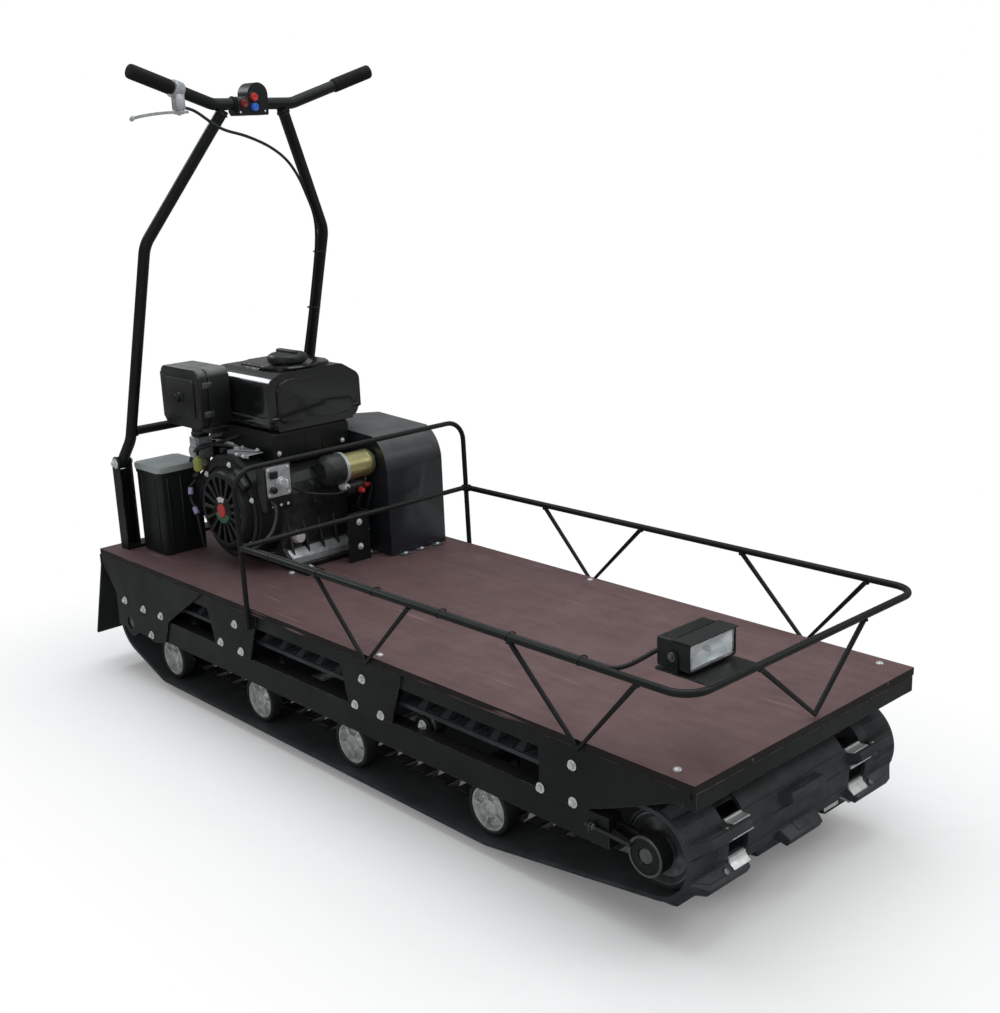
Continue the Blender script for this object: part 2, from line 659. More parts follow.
def make_beads():
    """A template repeated along curves at an even pitch, turned to the way they run."""
    tree, given, result = new_tree("beads_on_paths", "Geometry", {"Paths": "Geometry", "Template": "Object",
                                                                  "Pitch": 0.002, "Finish": "Material"},
                                   {"Mesh": "Geometry"})
    points = node(tree, "GeometryNodeCurveToPoints", {"Curve": given["Paths"],
                                                      "Length": given["Pitch"]}, mode="LENGTH")
    source = node(tree, "GeometryNodeObjectInfo", {"Object": given["Template"]}).outputs["Geometry"]
    copies = node(tree, "GeometryNodeInstanceOnPoints", {"Points": points.outputs["Points"],
                                                         "Instance": source,
                                                         "Rotation": points.outputs["Rotation"]})
    end_tree(tree, given, result, copies.outputs[0])
    return tree


def make_loop():
    """A flat link repeated end to end and wrapped round a closed route."""
    tree, given, result = new_tree("links_round_route", "Geometry",
                                   {"Route": "Geometry", "Link": "Object",
                                    "Links": 58, "Pitch": 0.056,
                                    "Finish": "Material"}, {"Mesh": "Geometry"})
    step = node(tree, "ShaderNodeCombineXYZ", {"X": given["Pitch"]}).outputs[0]
    start = node(tree, "ShaderNodeCombineXYZ", {"X": maths(tree, "MULTIPLY", given["Pitch"], 0.5)}).outputs[0]
    line = node(tree, "GeometryNodeMeshLine", {"Count": given["Links"],
                                               "Start Location": start, "Offset": step})
    source = node(tree, "GeometryNodeObjectInfo", {"Object": given["Link"]}).outputs["Geometry"]
    copies = node(tree, "GeometryNodeInstanceOnPoints", {"Points": line.outputs[0], "Instance": source})
    flat = node(tree, "GeometryNodeRealizeInstances", {0: copies.outputs[0]})
    place = node(tree, "ShaderNodeSeparateXYZ",
                 {0: node(tree, "GeometryNodeInputPosition").outputs[0]}).outputs
    whole = maths(tree, "MULTIPLY", given["Pitch"], given["Links"])
    share = maths(tree, "FRACT", maths(tree, "DIVIDE", place["X"], whole))
    sample = node(tree, "GeometryNodeSampleCurve", {"Curves": given["Route"], "Factor": share}, mode="FACTOR")
    outward = vector_maths(tree, "CROSS_PRODUCT", sample.outputs["Tangent"], (0.0, 1.0, 0.0))
    lifted = node(tree, "ShaderNodeVectorMath", {0: outward, 3: place["Z"]}, operation="SCALE").outputs[0]
    across = node(tree, "ShaderNodeCombineXYZ", {"Y": place["Y"]}).outputs[0]
    final = vector_maths(tree, "ADD", vector_maths(tree, "ADD", sample.outputs["Position"], lifted), across)
    bent = node(tree, "GeometryNodeSetPosition", {"Geometry": flat.outputs[0], "Position": final})
    merged = node(tree, "GeometryNodeMergeByDistance", {0: bent.outputs[0], "Distance": 0.00005})
    end_tree(tree, given, result, merged.outputs[0])
    return tree


RODS = make_rods()
COPIES = make_copies()
BEADS = make_beads()
LOOP = make_loop()


def curve_object(paths, cyclic=False):
    curve = bpy.data.curves.new("paths", "CURVE")
    curve.dimensions = "3D"
    for path in paths:
        spline = curve.splines.new("POLY")
        spline.points.add(len(path) - 1)
        for point, place in zip(spline.points, path):
            point.co = (*place, 1.0)
        spline.use_cyclic_u = cyclic
    return linked("paths", curve)


def rods(name, look, paths, radius, *cad_nodes, body="chassis", sides=16, **ripple):
    """Round rods along the paths, as one piece."""
    item = run_tree(curve_object(paths), RODS, name, look, Radius=radius, Sides=sides, **ripple)
    return attach(item, body, *cad_nodes)


def cable(name, route, radius, cad_node, stiffness, body="chassis", **ripple):
    """Round cord along a smooth route, declared with its own length."""
    item = rods(name, CORD, [route], radius, cad_node, body=body, sides=14, **ripple)
    return item


def hoses(name, routes, radius, sides=12):
    """Black hoses or leads, drawn smoothly through the points of their routes."""
    return rods(name, CORD, [smooth_route(route, 0.004) for route in routes], radius, sides=sides)


def copies(name, look, master, places, body="chassis"):
    """Master on each (place, axis, size), as one piece."""
    mesh = bpy.data.meshes.new("points")
    mesh.from_pydata([Vector(place) for place, _, _ in places], [], [])
    mesh.attributes.new("axis", "FLOAT_VECTOR", "POINT")
    mesh.attributes.new("size", "FLOAT", "POINT")
    for i, (_, direction, scale) in enumerate(places):
        mesh.attributes["axis"].data[i].vector = direction
        mesh.attributes["size"].data[i].value = scale
    return attach(run_tree(linked("points", mesh), COPIES, name, look, Template=master), body)


def weld_beads(name, rings, body="chassis"):
    """Scales of weld round the rings."""
    item = run_tree(curve_object(rings, cyclic=True), BEADS, name, POWDER, Template=WELD, Pitch=0.0022)
    return attach(item, body)


def belt_of(name, look, link, count, pitch, wheels, *cad_nodes):
    """Links wrapped round the wheels."""
    route = curve_object([belt_points(wheels)], cyclic=True)
    item = run_tree(route, LOOP, name, look, 32.0, Link=link, Links=count, Pitch=pitch)
    return attach(item, "chassis", *cad_nodes)


def ring_places(centre, radius, y, angles, axis, size):
    """Places of like fixings round a centre, at one y; angles in degrees."""
    places = []
    for angle in map(math.radians, angles):
        places.append(((centre[0] + radius * math.cos(angle), y, centre[1] + radius * math.sin(angle)), axis,
                       size))
    return places


def tie_loop(centre, across, up, steps=24):
    """Closed oval round a centre, from its two half axes."""
    loop = []
    for k in range(steps):
        angle = math.tau * k / steps
        loop.append(Vector(centre) + Vector(across) * math.cos(angle) + Vector(up) * math.sin(angle))
    return loop + loop[:1]


MASTERS = []


def master_of(shape, name):
    """Shape to be repeated; it is removed from the scene at the end."""
    item = to_object(shape, name, ZINC)
    item.hide_render = True
    MASTERS.append(item)
    return item


def make_bolt():
    """Hexagon head on a washer, one unit across the head's corners from its middle."""
    hexagon = prism(arc((0, 0), 1.0, 0, 300, 5), "Z", 0.22, 0.92, 0.07, 2)
    washer = turned([(1.42, 0), (1.5, 0.06), (1.5, 0.18), (1.42, 0.24)], (0, 0), "Z", 24)
    stub = turned([(0.52, 0.9), (0.52, 1.18), (0.42, 1.28)], (0, 0), "Z", 14)
    return master_of(joined(hexagon, washer, stub), "bolt")


def make_dome():
    """Low round head, one unit in radius."""
    profile = [(0, 0), (1.0, 0), (1.0, 0.12), (0.92, 0.3), (0.72, 0.46), (0.42, 0.56), (0, 0.6)]
    return master_of(turned(profile, (0, 0), "Z", 20), "dome")


def make_weld_scale():
    """One flat scale of a weld."""
    shape = bmesh.new()
    bmesh.ops.create_icosphere(shape, subdivisions=2, radius=1.0)
    bmesh.ops.scale(shape, vec=(0.0021, 0.0021, 0.00126), verts=shape.verts)
    return master_of(shape, "weld_scale")


BOLT = make_bolt()
DOME = make_dome()
WELD = make_weld_scale()
RIGHT = (0, -1, 0)
LEFT = (0, 1, 0)
UP = (0, 0, 1)
FORWARD = (1, 0, 0)
BACK = (-1, 0, 0)
DOWN = (0, 0, -1)
SIDES = (-1, 1)              # right and left


def span(side, near, far):
    """Low and high end of a stretch that is mirrored to one side."""
    return sorted((side * near, side * far))


# Track

TRACK_PITCH = 0.056
LINKS = 58
BELT_HALF = 0.0035
LUG_HEIGHT = 0.02
TRACK_EDGE = 0.25
WINDOW_HALF = 0.014
WINDOW_INNER = 0.124
WINDOW_OUTER = 0.168
COLUMN = 0.0046667           # length of one column of belt faces
CENTRE_LUG = 0.045
GEAR = ((0.1, 0.13134, 0.0713), (1.505639, 0.13814, 0.0645), (1.165, 0.0746, 0.0511), (0.198, 0.0746, 0.0511))
WHEEL_X = (0.205, 0.523, 0.808, 1.158)


def belt_points(circles, step=3.0):
    """Closed route round circles (x, z, radius), clockwise seen from the right."""
    leave = []
    following = circles[1:] + circles[:1]
    for (ax, az, ar), (bx, bz, br) in zip(circles, following):
        heading = math.atan2(bz - az, bx - ax)
        leave.append(math.degrees(heading + math.acos((ar - br) / math.hypot(bx - ax, bz - az))))
    points = []
    for i, (x, z, radius) in enumerate(following):
        sweep = (leave[i] - leave[(i + 1) % len(circles)]) % 360
        count = max(2, round(sweep / step))
        points += arc((x, z), radius, leave[i], -sweep, count)
    start = circles[0]
    first = arc(start[:2], start[2], leave[0], 0, 1)[0]
    points = [first] + points[:-1]
    return [(a, 0.0, b) for a, b in points]


def belt_sheet():
    """Flat belt of one link, the bar in the middle and half a window at each end."""
    columns = [COLUMN * k for k in range(-6, 7)]
    fillet = COLUMN
    sheets = []

    def strip(low, high, across):
        for a, b in zip(across, across[1:]):
            sheets.append([(low, a), (high, a), (high, b), (low, b)])

    for low, high in zip(columns, columns[1:]):
        strip(low, high, (-WINDOW_INNER, -0.062, 0.0, 0.062, WINDOW_INNER))
        for side in SIDES:
            strip(low, high, sorted((side * WINDOW_OUTER, side * 0.209, side * TRACK_EDGE)))
            if max(abs(low), abs(high)) < WINDOW_HALF + 0.001:
                strip(low, high, sorted((side * WINDOW_INNER, side * (WINDOW_INNER + fillet),
                                         side * (WINDOW_OUTER - fillet), side * WINDOW_OUTER)))
    for along in (-1, 1):
        for side in SIDES:
            for edge, inward in ((WINDOW_INNER, 1), (WINDOW_OUTER, -1)):
                corner = (along * WINDOW_HALF, side * edge)
                centre = (along * (WINDOW_HALF + fillet), side * (edge + inward * fillet))
                curve = []
                for k in range(4):
                    angle = math.radians(30 * k)
                    curve.append((centre[0] - along * fillet * math.cos(angle),
                                  centre[1] - side * inward * fillet * math.sin(angle)))
                sheets.append([corner, *curve])
    shape = bmesh.new()
    for outline in sheets:
        shape.faces.new([shape.verts.new((x, y, BELT_HALF)) for x, y in outline])
    bmesh.ops.remove_doubles(shape, verts=shape.verts, dist=MERGE)
    bmesh.ops.recalc_face_normals(shape, faces=shape.faces)
    grown = bmesh.ops.extrude_face_region(shape, geom=shape.faces[:])
    lowered = [item for item in grown["geom"] if isinstance(item, bmesh.types.BMVert)]
    bmesh.ops.translate(shape, vec=(0, 0, -2 * BELT_HALF), verts=lowered)
    end = 6 * COLUMN - MERGE
    walls = [face for face in shape.faces if all(abs(v.co.x) > end for v in face.verts)]
    bmesh.ops.delete(shape, geom=walls, context="FACES")
    return shape


def lug_bar(low, high, foot, crest, top, leans, soft=0.0012):
    """Lug across the track from low to high, its section a wedge and each end sloping in by its lean."""
    base = BELT_HALF - 0.0006
    rings = []
    for height, half in ((base, foot), (base + 0.0035, foot * 0.86), (top - 0.003, crest * 1.12),
                         (top, crest)):
        share = (height - base) / (top - base)
        near, far = low + leans[0] * share, high - leans[1] * share
        rings.append([(-half, near, height), (half, near, height), (half, far, height), (-half, far, height)])
    shape = lofted(rings)
    bmesh.ops.recalc_face_normals(shape, faces=shape.faces)
    keep = [edge for edge in shape.edges if min(v.co.z for v in edge.verts) > base + 0.001]
    bmesh.ops.bevel(shape, geom=keep, offset=soft, segments=2, profile=0.5, affect="EDGES")
    return shape


def build_track():
    top = BELT_HALF + LUG_HEIGHT
    rubber = [belt_sheet()]
    rubber.append(lug_bar(-CENTRE_LUG, CENTRE_LUG, 0.01, 0.0048, top, (0.005, 0.005)))
    rubber.append(lug_bar(-0.016, 0.016, 0.0112, 0.0068, top - 0.006, (0.003, 0.003)))
    for side in SIDES:
        rubber.append(lug_bar(*span(side, 0.127, 0.247), 0.0098, 0.0046, top, (0.026, 0.006)[::-side]))
        rubber.append(lug_bar(*span(side, 0.176, 0.24), 0.0112, 0.007, top - 0.007, (0.024, 0.004)[::-side]))
        for along in (-1, 1):
            back, front = span(along, 0.0116, 0.0132)
            for low, high in (span(side, 0.0, 0.122), span(side, 0.17, 0.248)):
                rubber.append(block((back, low, BELT_HALF - 0.0005), (front, high, BELT_HALF + 0.0013)))
            back, front = span(along, 0.0142, 0.0262)
            for number in range(11):
                y = side * (0.192 + 0.0052 * number)
                rubber.append(block((back, y - 0.0008, BELT_HALF - 0.0005),
                                    (front, y + 0.0008, BELT_HALF + 0.0008)))
    link = master_of(joined(*rubber), "track_link")
    belt_of("track_belt", BELT_RUBBER, link, LINKS, TRACK_PITCH, GEAR, "track")
    bright = []
    dull = []
    inner, outer = BELT_HALF - 0.0002, BELT_HALF + 0.0016
    for side in SIDES:
        low, high = span(side, 0.1275, 0.1645)
        for along in (-1, 1):
            flank = [(0.0155, inner - 0.003), (0.0155, outer - 0.001), (0.0146, outer), (0.0122, outer),
                     (0.0096, outer + 0.004), (0.0078, outer + 0.0125), (0.0064, outer + 0.0125),
                     (0.0082, outer + 0.003), (0.01, inner), (0.0139, inner), (0.0139, inner - 0.003)]
            back = [(0.0155, inner - 0.0032), (0.0139, inner - 0.0032), (0.0139, -inner), (-0.0002, -inner),
                    (-0.0002, -outer), (0.0146, -outer), (0.0155, 0.001 - outer)]
            bright.append(prism([(along * x, z) for x, z in flank], "Y", low, high, 0.0004, 1))
            dull.append(prism([(along * x, z) for x, z in back], "Y", low, high, 0.0003, 1))
            stud = turned([(0.0058, 0.0), (0.0058, 0.0022), (0.0046, 0.0034), (0, 0.0038)], (0, 0), "Z", 12)
            lean = Matrix.Rotation(along * math.radians(72), 4, "Y")
            dull.append(moved(stud, Matrix.Translation((along * 0.006, side * 0.178, top * 0.55)) @ lean))
    for name, parts, look in (("track_clips", bright, ZINC), ("track_clip_backs", dull, STEEL)):
        belt_of(name, look, master_of(joined(*parts), "track_clip"), LINKS, TRACK_PITCH, GEAR)


# Drive chain, inside its case

CHAIN_LINKS = 41
CHAIN_PITCH = 0.0190442
CHAIN_WHEELS = ((0.165, 0.3934, 0.024248), (0.1, 0.13134, 0.051527))
CHAIN_Y = 0.27255


def build_chain():
    """Link plates on both sides of the wheels' teeth, which turn between them."""
    reach = CHAIN_PITCH * 0.485
    plates = []
    for side in SIDES:
        low, high = sorted((CHAIN_Y + side * 0.0034, CHAIN_Y + side * 0.005))
        outline = [*arc((reach - 0.0042, 0), 0.0042, -75, 150, 8),
                   *arc((0.0042 - reach, 0), 0.0042, 105, 150, 8)]
        plates.append(prism(outline, "Y", low, high, 0.0003, 1))
    link = master_of(joined(*plates), "chain_link")
    belt_of("chain_links", STEEL, link, CHAIN_LINKS, CHAIN_PITCH, CHAIN_WHEELS, "drive_chain")


# Wheels

WHEEL_OUTER = 0.2332         # the wheels' outer faces, from the middle
WHEEL_Z = 0.072
WHEEL_RADIUS = 0.0447
ROLLER = (1.02, 0.1738)


def wheel_halves(centre, radius, width, tyre, hub, offset=WHEEL_OUTER):
    """Tyres and dished discs of one pair of wheels."""
    tyres = []
    discs = []
    for side in SIDES:
        def at(profile):
            return [(r, side * y) for r, y in profile]

        inner = offset - width
        rim = radius - tyre
        tyres.append(turned(at([(rim, inner + 0.002), (rim + 0.001, inner), (radius - 0.003, inner),
                                (radius - 0.0008, inner + 0.0012), (radius, inner + 0.004),
                                (radius, offset - 0.004), (radius - 0.0008, offset - 0.0012),
                                (radius - 0.003, offset), (rim + 0.001, offset), (rim, offset - 0.002)]),
                            centre, sides=48, ring=True))
        face = offset - 0.0015
        discs.append(turned(at([(0, inner + 0.004), (rim, inner + 0.004), (rim, face - 0.001),
                                (rim - 0.0012, face), (rim - 0.0032, face), (rim - 0.0045, face - 0.0015),
                                (rim * 0.8, face - 0.008), (rim * 0.62, face - 0.0088),
                                (rim * 0.52, face - 0.007), (hub + 0.004, face - 0.0052),
                                (hub + 0.002, face - 0.002), (hub, face - 0.0012), (hub * 0.72, face - 0.001),
                                (hub * 0.66, face - 0.003), (0, face - 0.0032)]), centre, sides=48))
    return tyres, discs


def build_wheels():
    for number, x in enumerate(WHEEL_X, start=1):
        body = f"wheel_set_{number}"
        tyres, discs = wheel_halves((x, WHEEL_Z), WHEEL_RADIUS, 0.025, 0.0075, 0.013)
        axle = turned([(0.01, -0.209), (0.01, 0.209)], (x, WHEEL_Z), sides=24)
        ribs = []
        for side in SIDES:
            low, high = span(side, WHEEL_OUTER - 0.0125, WHEEL_OUTER - 0.004)
            for k in range(5):
                rib = block((0.014, low, -0.0026), (0.0345, high, 0.0026), 0.0012, 2)
                turn = Matrix.Rotation(math.radians(72 * k + 36 + 18 * number), 4, "Y")
                ribs.append(moved(rib, Matrix.Translation((x, 0, WHEEL_Z)) @ turn))
        piece(joined(*tyres), f"road_tyres_{number}", TYRE, f"road_wheels_{number}", body=body)
        piece(joined(axle, *discs, *ribs), f"road_discs_{number}", DISC, body=body)
        places = []
        for side in SIDES:
            places += ring_places((x, WHEEL_Z), 0.0215, side * (WHEEL_OUTER - 0.009),
                                  [72 * k + 18 * number for k in range(5)], (0, side, 0), 0.0026)
        copies(f"road_rivets_{number}", ZINC, DOME, places, body)
    low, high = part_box("idler_wheels")
    centre = GEAR[1][:2]
    radius = (high.z - low.z) / 2
    tyres, discs = wheel_halves(centre, radius, 0.033, 0.006, 0.018)
    axle = turned([(0.0105, -0.2609), (0.012, -0.2595), (0.012, 0.2595), (0.0105, 0.2609)], centre, sides=28)
    piece(joined(*tyres), "idler_tyres", TYRE, "idler_wheels", body="idler")
    piece(joined(axle, *discs), "idler_discs", STEEL, body="idler")
    tyres, discs = wheel_halves(ROLLER, 0.025, 0.022, 0.004, 0.008)
    axle = turned([(0.008, -0.2405), (0.008, 0.2405)], ROLLER, sides=24)
    piece(joined(*tyres), "roller_tyres", TYRE, "return_rollers", body="roller_set")
    piece(joined(axle, *discs), "roller_discs", DISC, body="roller_set")
    nuts = [((ROLLER[0], side * 0.2406, ROLLER[1]), (0, side, 0), 0.0062) for side in SIDES]
    copies("roller_nuts", ZINC, BOLT, nuts, "roller_set")


# Tubes and welds

BED_Y = 0.2703
STRUT_Y = 0.2688
RAIL_RADIUS = 0.0055
STRUT_RADIUS = 0.004
STRUT_FOOT_Z = 0.262
FRONT_STRUT_Y = 0.13
HOOP_FOOT_Z = 0.235
HOOP_X = 0.5715
BED_FRONT_X = 1.59
BED_CORNER = 0.08
STRUTS = ((0.792, 0.917, 1.044), (1.258, 1.392, 1.506))
BAR_RADIUS = 0.011
LEG_Y = 0.215
PIVOT = (0.046, 0.458)
BAR_BEND = Vector((0.316, 0.088, 1.156))
BAR_END = Vector((0.338, 0.262, 1.213))
CROSS_TUBE_Z = 0.53


def rail_z(x):
    """Height of the side rails, which rise a little to the front."""
    return DECK_TOP + 0.116 + 0.006 * (x - HOOP_X) / (BED_FRONT_X - HOOP_X)


def weld_ring(centre, axis, radius, steps=20):
    """Circle round a joint, square to an axis."""
    axis = Vector(axis).normalized()
    side = axis.orthogonal().normalized()
    other = axis.cross(side)
    ring = []
    for k in range(steps):
        angle = math.tau * k / steps
        ring.append(Vector(centre) + (side * math.cos(angle) + other * math.sin(angle)) * radius)
    return ring


def build_bed():
    top = DECK_TOP + 0.255
    middle = rail_z(HOOP_X)
    hoop = [(HOOP_X, -BED_Y, HOOP_FOOT_Z), (HOOP_X - 0.006, -BED_Y, top), (HOOP_X - 0.006, BED_Y, top),
            (HOOP_X, BED_Y, HOOP_FOOT_Z)]
    bar = [(HOOP_X - 0.003, -BED_Y, middle), (HOOP_X - 0.003, BED_Y, middle)]
    rods("hoop_rod", POWDER, [smoothed(hoop, 0.04, 8), bar], RAIL_RADIUS * 0.88, "cargo_hoop")
    joint_x = BED_FRONT_X - BED_CORNER
    welds = []
    rail_paths = []
    strut_paths = []
    for side in SIDES:
        y = side * BED_Y
        rail_paths.append([(HOOP_X + 0.0058, y, rail_z(HOOP_X)), (joint_x - 0.0003, y, rail_z(joint_x))])
        welds.append(weld_ring((HOOP_X + 0.0062, y, rail_z(HOOP_X)), FORWARD, RAIL_RADIUS))
        welds.append(weld_ring((HOOP_X - 0.003, y - side * 0.0062, middle), LEFT, RAIL_RADIUS * 0.95))
        for back, foot, front in STRUTS:
            legs = [(back, y, rail_z(back)), (foot, side * STRUT_Y, STRUT_FOOT_Z), (front, y, rail_z(front))]
            strut_paths.append(legs)
            for x in (back, front):
                lean = Vector((foot, 0, STRUT_FOOT_Z)) - Vector((x, 0, rail_z(x)))
                welds.append(weld_ring(Vector((x, y, rail_z(x))) + lean.normalized() * 0.007, lean,
                                       STRUT_RADIUS))
    rods("side_rails", POWDER, rail_paths, RAIL_RADIUS, "cargo_rail_right", "cargo_rail_left")
    rods("side_struts", POWDER, strut_paths, STRUT_RADIUS)
    front_z = rail_z(BED_FRONT_X)
    bend = [(joint_x, -BED_Y, rail_z(joint_x)), (BED_FRONT_X, -BED_Y, front_z), (BED_FRONT_X, BED_Y, front_z),
            (joint_x, BED_Y, rail_z(joint_x))]
    rods("front_rail", POWDER, [smoothed(bend, 0.072, 10)], RAIL_RADIUS, "cargo_rail_front")
    foot = (DECK_LENGTH - 0.006, 0.009, DECK_TOP + 0.0062)
    tops = [Vector((BED_FRONT_X, side * FRONT_STRUT_Y, front_z)) for side in SIDES]
    rods("front_struts", POWDER, [[tops[0], foot, tops[1]]], STRUT_RADIUS)
    for head in tops:
        lean = Vector(foot) - head
        welds.append(weld_ring(head + lean.normalized() * 0.0075, lean, STRUT_RADIUS))
    weld_beads("rail_welds", welds)
    build_tray()


def build_tray():
    """Tray of the headlight, on the rail's right corner, with an ear on each side."""
    low_y, high_y, base = LAMP_RIGHT, LAMP_LEFT, LAMP_BASE
    plan = rectangle((LAMP_REAR - 0.004, low_y - 0.0023), (BED_FRONT_X + 0.004, high_y + 0.0023), 0.006, 4)
    tray = prism(plan, "Z", base - 0.0023, base - 0.0003, 0.0005, 1)
    x, z = LAMP_AXIS
    ear = [(x - 0.01, base - 0.001), (x + 0.01, base - 0.001), *arc(LAMP_AXIS, 0.01, 0, 180, 8)]
    ears = [prism(ear, "Y", y, y + 0.002, 0.0004, 1) for y in (low_y - 0.0023, high_y + 0.0003)]
    piece(joined(tray, *ears), "lamp_tray", POWDER)
    places = [((x, low_y - 0.0023, z), RIGHT, 0.0042), ((x, high_y + 0.0023, z), LEFT, 0.0042)]
    copies("lamp_bolts", STEEL, BOLT, places)


# Headlight

LAMP_REAR = 1.503
LAMP_DEPTH = 0.055
LAMP_RIGHT = -0.232
LAMP_LEFT = -0.135
LAMP_BASE = rail_z(BED_FRONT_X) + RAIL_RADIUS + 0.0013
LAMP_WALL = 0.0024
LAMP_HEIGHT = 0.044
LAMP_TILT_ROOM = 0.0036      # under the housing, for its corners as it tilts
LAMP_AXIS = (LAMP_REAR + LAMP_DEPTH / 2, LAMP_BASE + LAMP_HEIGHT / 2)


def build_headlight():
    front = LAMP_REAR + LAMP_DEPTH
    low = LAMP_BASE + LAMP_TILT_ROOM
    high = LAMP_BASE + LAMP_HEIGHT
    wall = LAMP_WALL
    outside = rectangle((LAMP_RIGHT, low), (LAMP_LEFT, high), 0.004, 4)
    inside = rectangle((LAMP_RIGHT + wall, low + wall), (LAMP_LEFT - wall, high - wall), 0.003, 4)
    rings = []
    for outline, x in ((outside, LAMP_REAR + 0.0015), (outside, front - 0.001), (outside, front),
                       (inside, front), (inside, front - 0.016)):
        rings.append([(x, y, z) for y, z in outline])
    ribs = []
    for k in range(5):
        x = LAMP_REAR + 0.006 + k * 0.005
        ribs.append(block((x, LAMP_RIGHT + 0.006, high - 0.0004),
                          (x + 0.0022, LAMP_LEFT - 0.006, high + 0.001), 0.0004, 1))
    hood = block((front - 0.03, LAMP_RIGHT - 0.0002, high - 0.0006),
                 (front + 0.004, LAMP_LEFT + 0.0002, high + 0.001), 0.0004, 1)
    piece(joined(lofted(rings), hood, *ribs), "lamp_housing", SATIN, "headlight_housing", body="headlight")

    columns, rows = 24, 12

    def dish(c, r):
        across, up = 2 * c / columns - 1, 2 * r / rows - 1
        return front - 0.0045 - 0.0105 * (1 - across * across) * (1 - up * up * 0.8)

    def flutes(c, r):
        return front - 0.0024 + 0.0004 * math.cos(math.pi * c) + 0.0003 * math.cos(math.pi * r)

    lamp_sheet("lamp_reflector", MIRROR, columns, rows, 0.0006, 0.0006, dish)
    bulb = turned([(0.0035, -0.014), (0.0042, -0.011), (0.004, -0.007), (0.0024, -0.0052), (0, -0.0048)],
                  ((LAMP_RIGHT + LAMP_LEFT) / 2, (low + high) / 2), "X", 20, start=front)
    piece(bulb, "lamp_bulb", BOOT, body="headlight")
    lamp_sheet("lamp_glass", GLASS, 44, 8, 0.0004, 0.0012, flutes, 80.0, "headlight_lens")
    build_lead()


def lamp_sheet(name, look, columns, rows, room, thickness, depth, angle=35.0, *cad_nodes):
    """Sheet across the lamp's mouth, short of its wall by the room; depth gives x for a column and a row."""
    low = LAMP_BASE + LAMP_TILT_ROOM + LAMP_WALL + room
    right = LAMP_RIGHT + LAMP_WALL + room
    width = LAMP_LEFT - LAMP_RIGHT - 2 * (LAMP_WALL + room)
    height = LAMP_HEIGHT - LAMP_TILT_ROOM - 2 * (LAMP_WALL + room)
    sheet = bmesh.new()
    grid = []
    for r in range(rows + 1):
        grid.append([sheet.verts.new((depth(c, r), right + width * c / columns, low + height * r / rows))
                     for c in range(columns + 1)])
    for first, second in zip(grid, grid[1:]):
        for c in range(columns):
            sheet.faces.new((first[c], first[c + 1], second[c + 1], second[c]))
    item = to_object(sheet, name, look, angle)
    wall = item.modifiers.new("wall", "SOLIDIFY")
    wall.thickness = thickness
    wall.offset = 0.0
    attach(settled(item, name, look, angle), "headlight", *cad_nodes)


def build_lead():
    """Headlight's lead in its ribbed sleeve, tied to the inside of the right rail."""
    inside = -BED_Y + RAIL_RADIUS + 0.0035 + 0.0009
    lead = [(LAMP_REAR + 0.0006, LAMP_RIGHT + 0.016, LAMP_AXIS[1]),
            (LAMP_REAR - 0.006, LAMP_RIGHT + 0.0148, LAMP_AXIS[1] - 0.001),
            (1.484, inside + 0.0225, rail_z(1.484) + 0.0165), (1.468, inside + 0.008, rail_z(1.468) + 0.0055),
            *[(x, inside, rail_z(x)) for x in (1.45, 1.42, 1.38, 1.1, 0.8)],
            (HOOP_X + 0.09, inside, rail_z(HOOP_X)),
            (HOOP_X + 0.04, inside, rail_z(HOOP_X) - 0.001), (HOOP_X, inside + 0.006, rail_z(HOOP_X) - 0.012),
            (HOOP_X - 0.04, inside + 0.05, 0.37), (0.508, -0.166, 0.378), (0.494, -0.144, 0.396),
            (0.482, -0.132, 0.4165), (PANEL_FRONT, -0.13, 0.425)]
    cable("headlight_conduit", eased(smooth_route(lead, 0.0011), 120), 0.0034, "headlight_lead", "medium",
          Ripple=0.1, Ripple_Length=0.0044)
    ties = []
    for x in (0.66, 0.8, 0.95, 1.11, 1.26, 1.4):
        ties.append(tie_loop((x, (-BED_Y + inside) / 2, rail_z(x)), (0, 0.0108, 0), (0, 0, 0.0066)))
    rods("conduit_ties", CORD, ties, 0.0011, sides=8)


# Bolts of the frame

PLATE_BOLTS = ((0.088, 0.178), (0.165, 0.176), (0.235, 0.178), (0.188, 0.126), (0.514, 0.229),
               (0.459, 0.18), (0.528, 0.179), (0.898, 0.227), (0.874, 0.175), (0.943, 0.176),
               (1.376, 0.231), (1.311, 0.174), (1.376, 0.174))
DECK_BOLTS = ((1.547, -0.243), (1.547, 0.243), (0.931, -0.25), (0.931, 0.25), (0.458, -0.094), (0.458, 0.094))
TAIL_BOLTS = (-0.22, -0.11, 0.0, 0.11, 0.22)
BOLT_HALF = 0.0055           # from a bolt's middle to a corner of its head
CHAIN_CASE_FACE = 0.2823


def build_bolts():
    places = []
    for side in SIDES:
        places += [((x, side * DECK_HALF, z), (0, side, 0), BOLT_HALF) for x, z in PLATE_BOLTS]
    places += [((-0.0053, y, 0.249), BACK, 0.0042) for y in TAIL_BOLTS]
    copies("plate_bolts", ZINC, BOLT, places)
    copies("deck_bolts", ZINC, DOME, [((x, y, DECK_TOP), UP, 0.0062) for x, y in DECK_BOLTS])
    strip = block((-0.0075, -0.255, 0.24), (-0.0052, 0.255, 0.2585), 0.0006, 1)
    piece(strip, "flap_strip", POWDER)
    places = ring_places((0.1, 0.1313), 0.05, CHAIN_CASE_FACE, range(20, 380, 72), LEFT, 0.0034)
    places.append(((0.165, CHAIN_CASE_FACE, 0.3934), LEFT, 0.0034))
    copies("case_bolts", ZINC, BOLT, places)
    build_idler_ends()


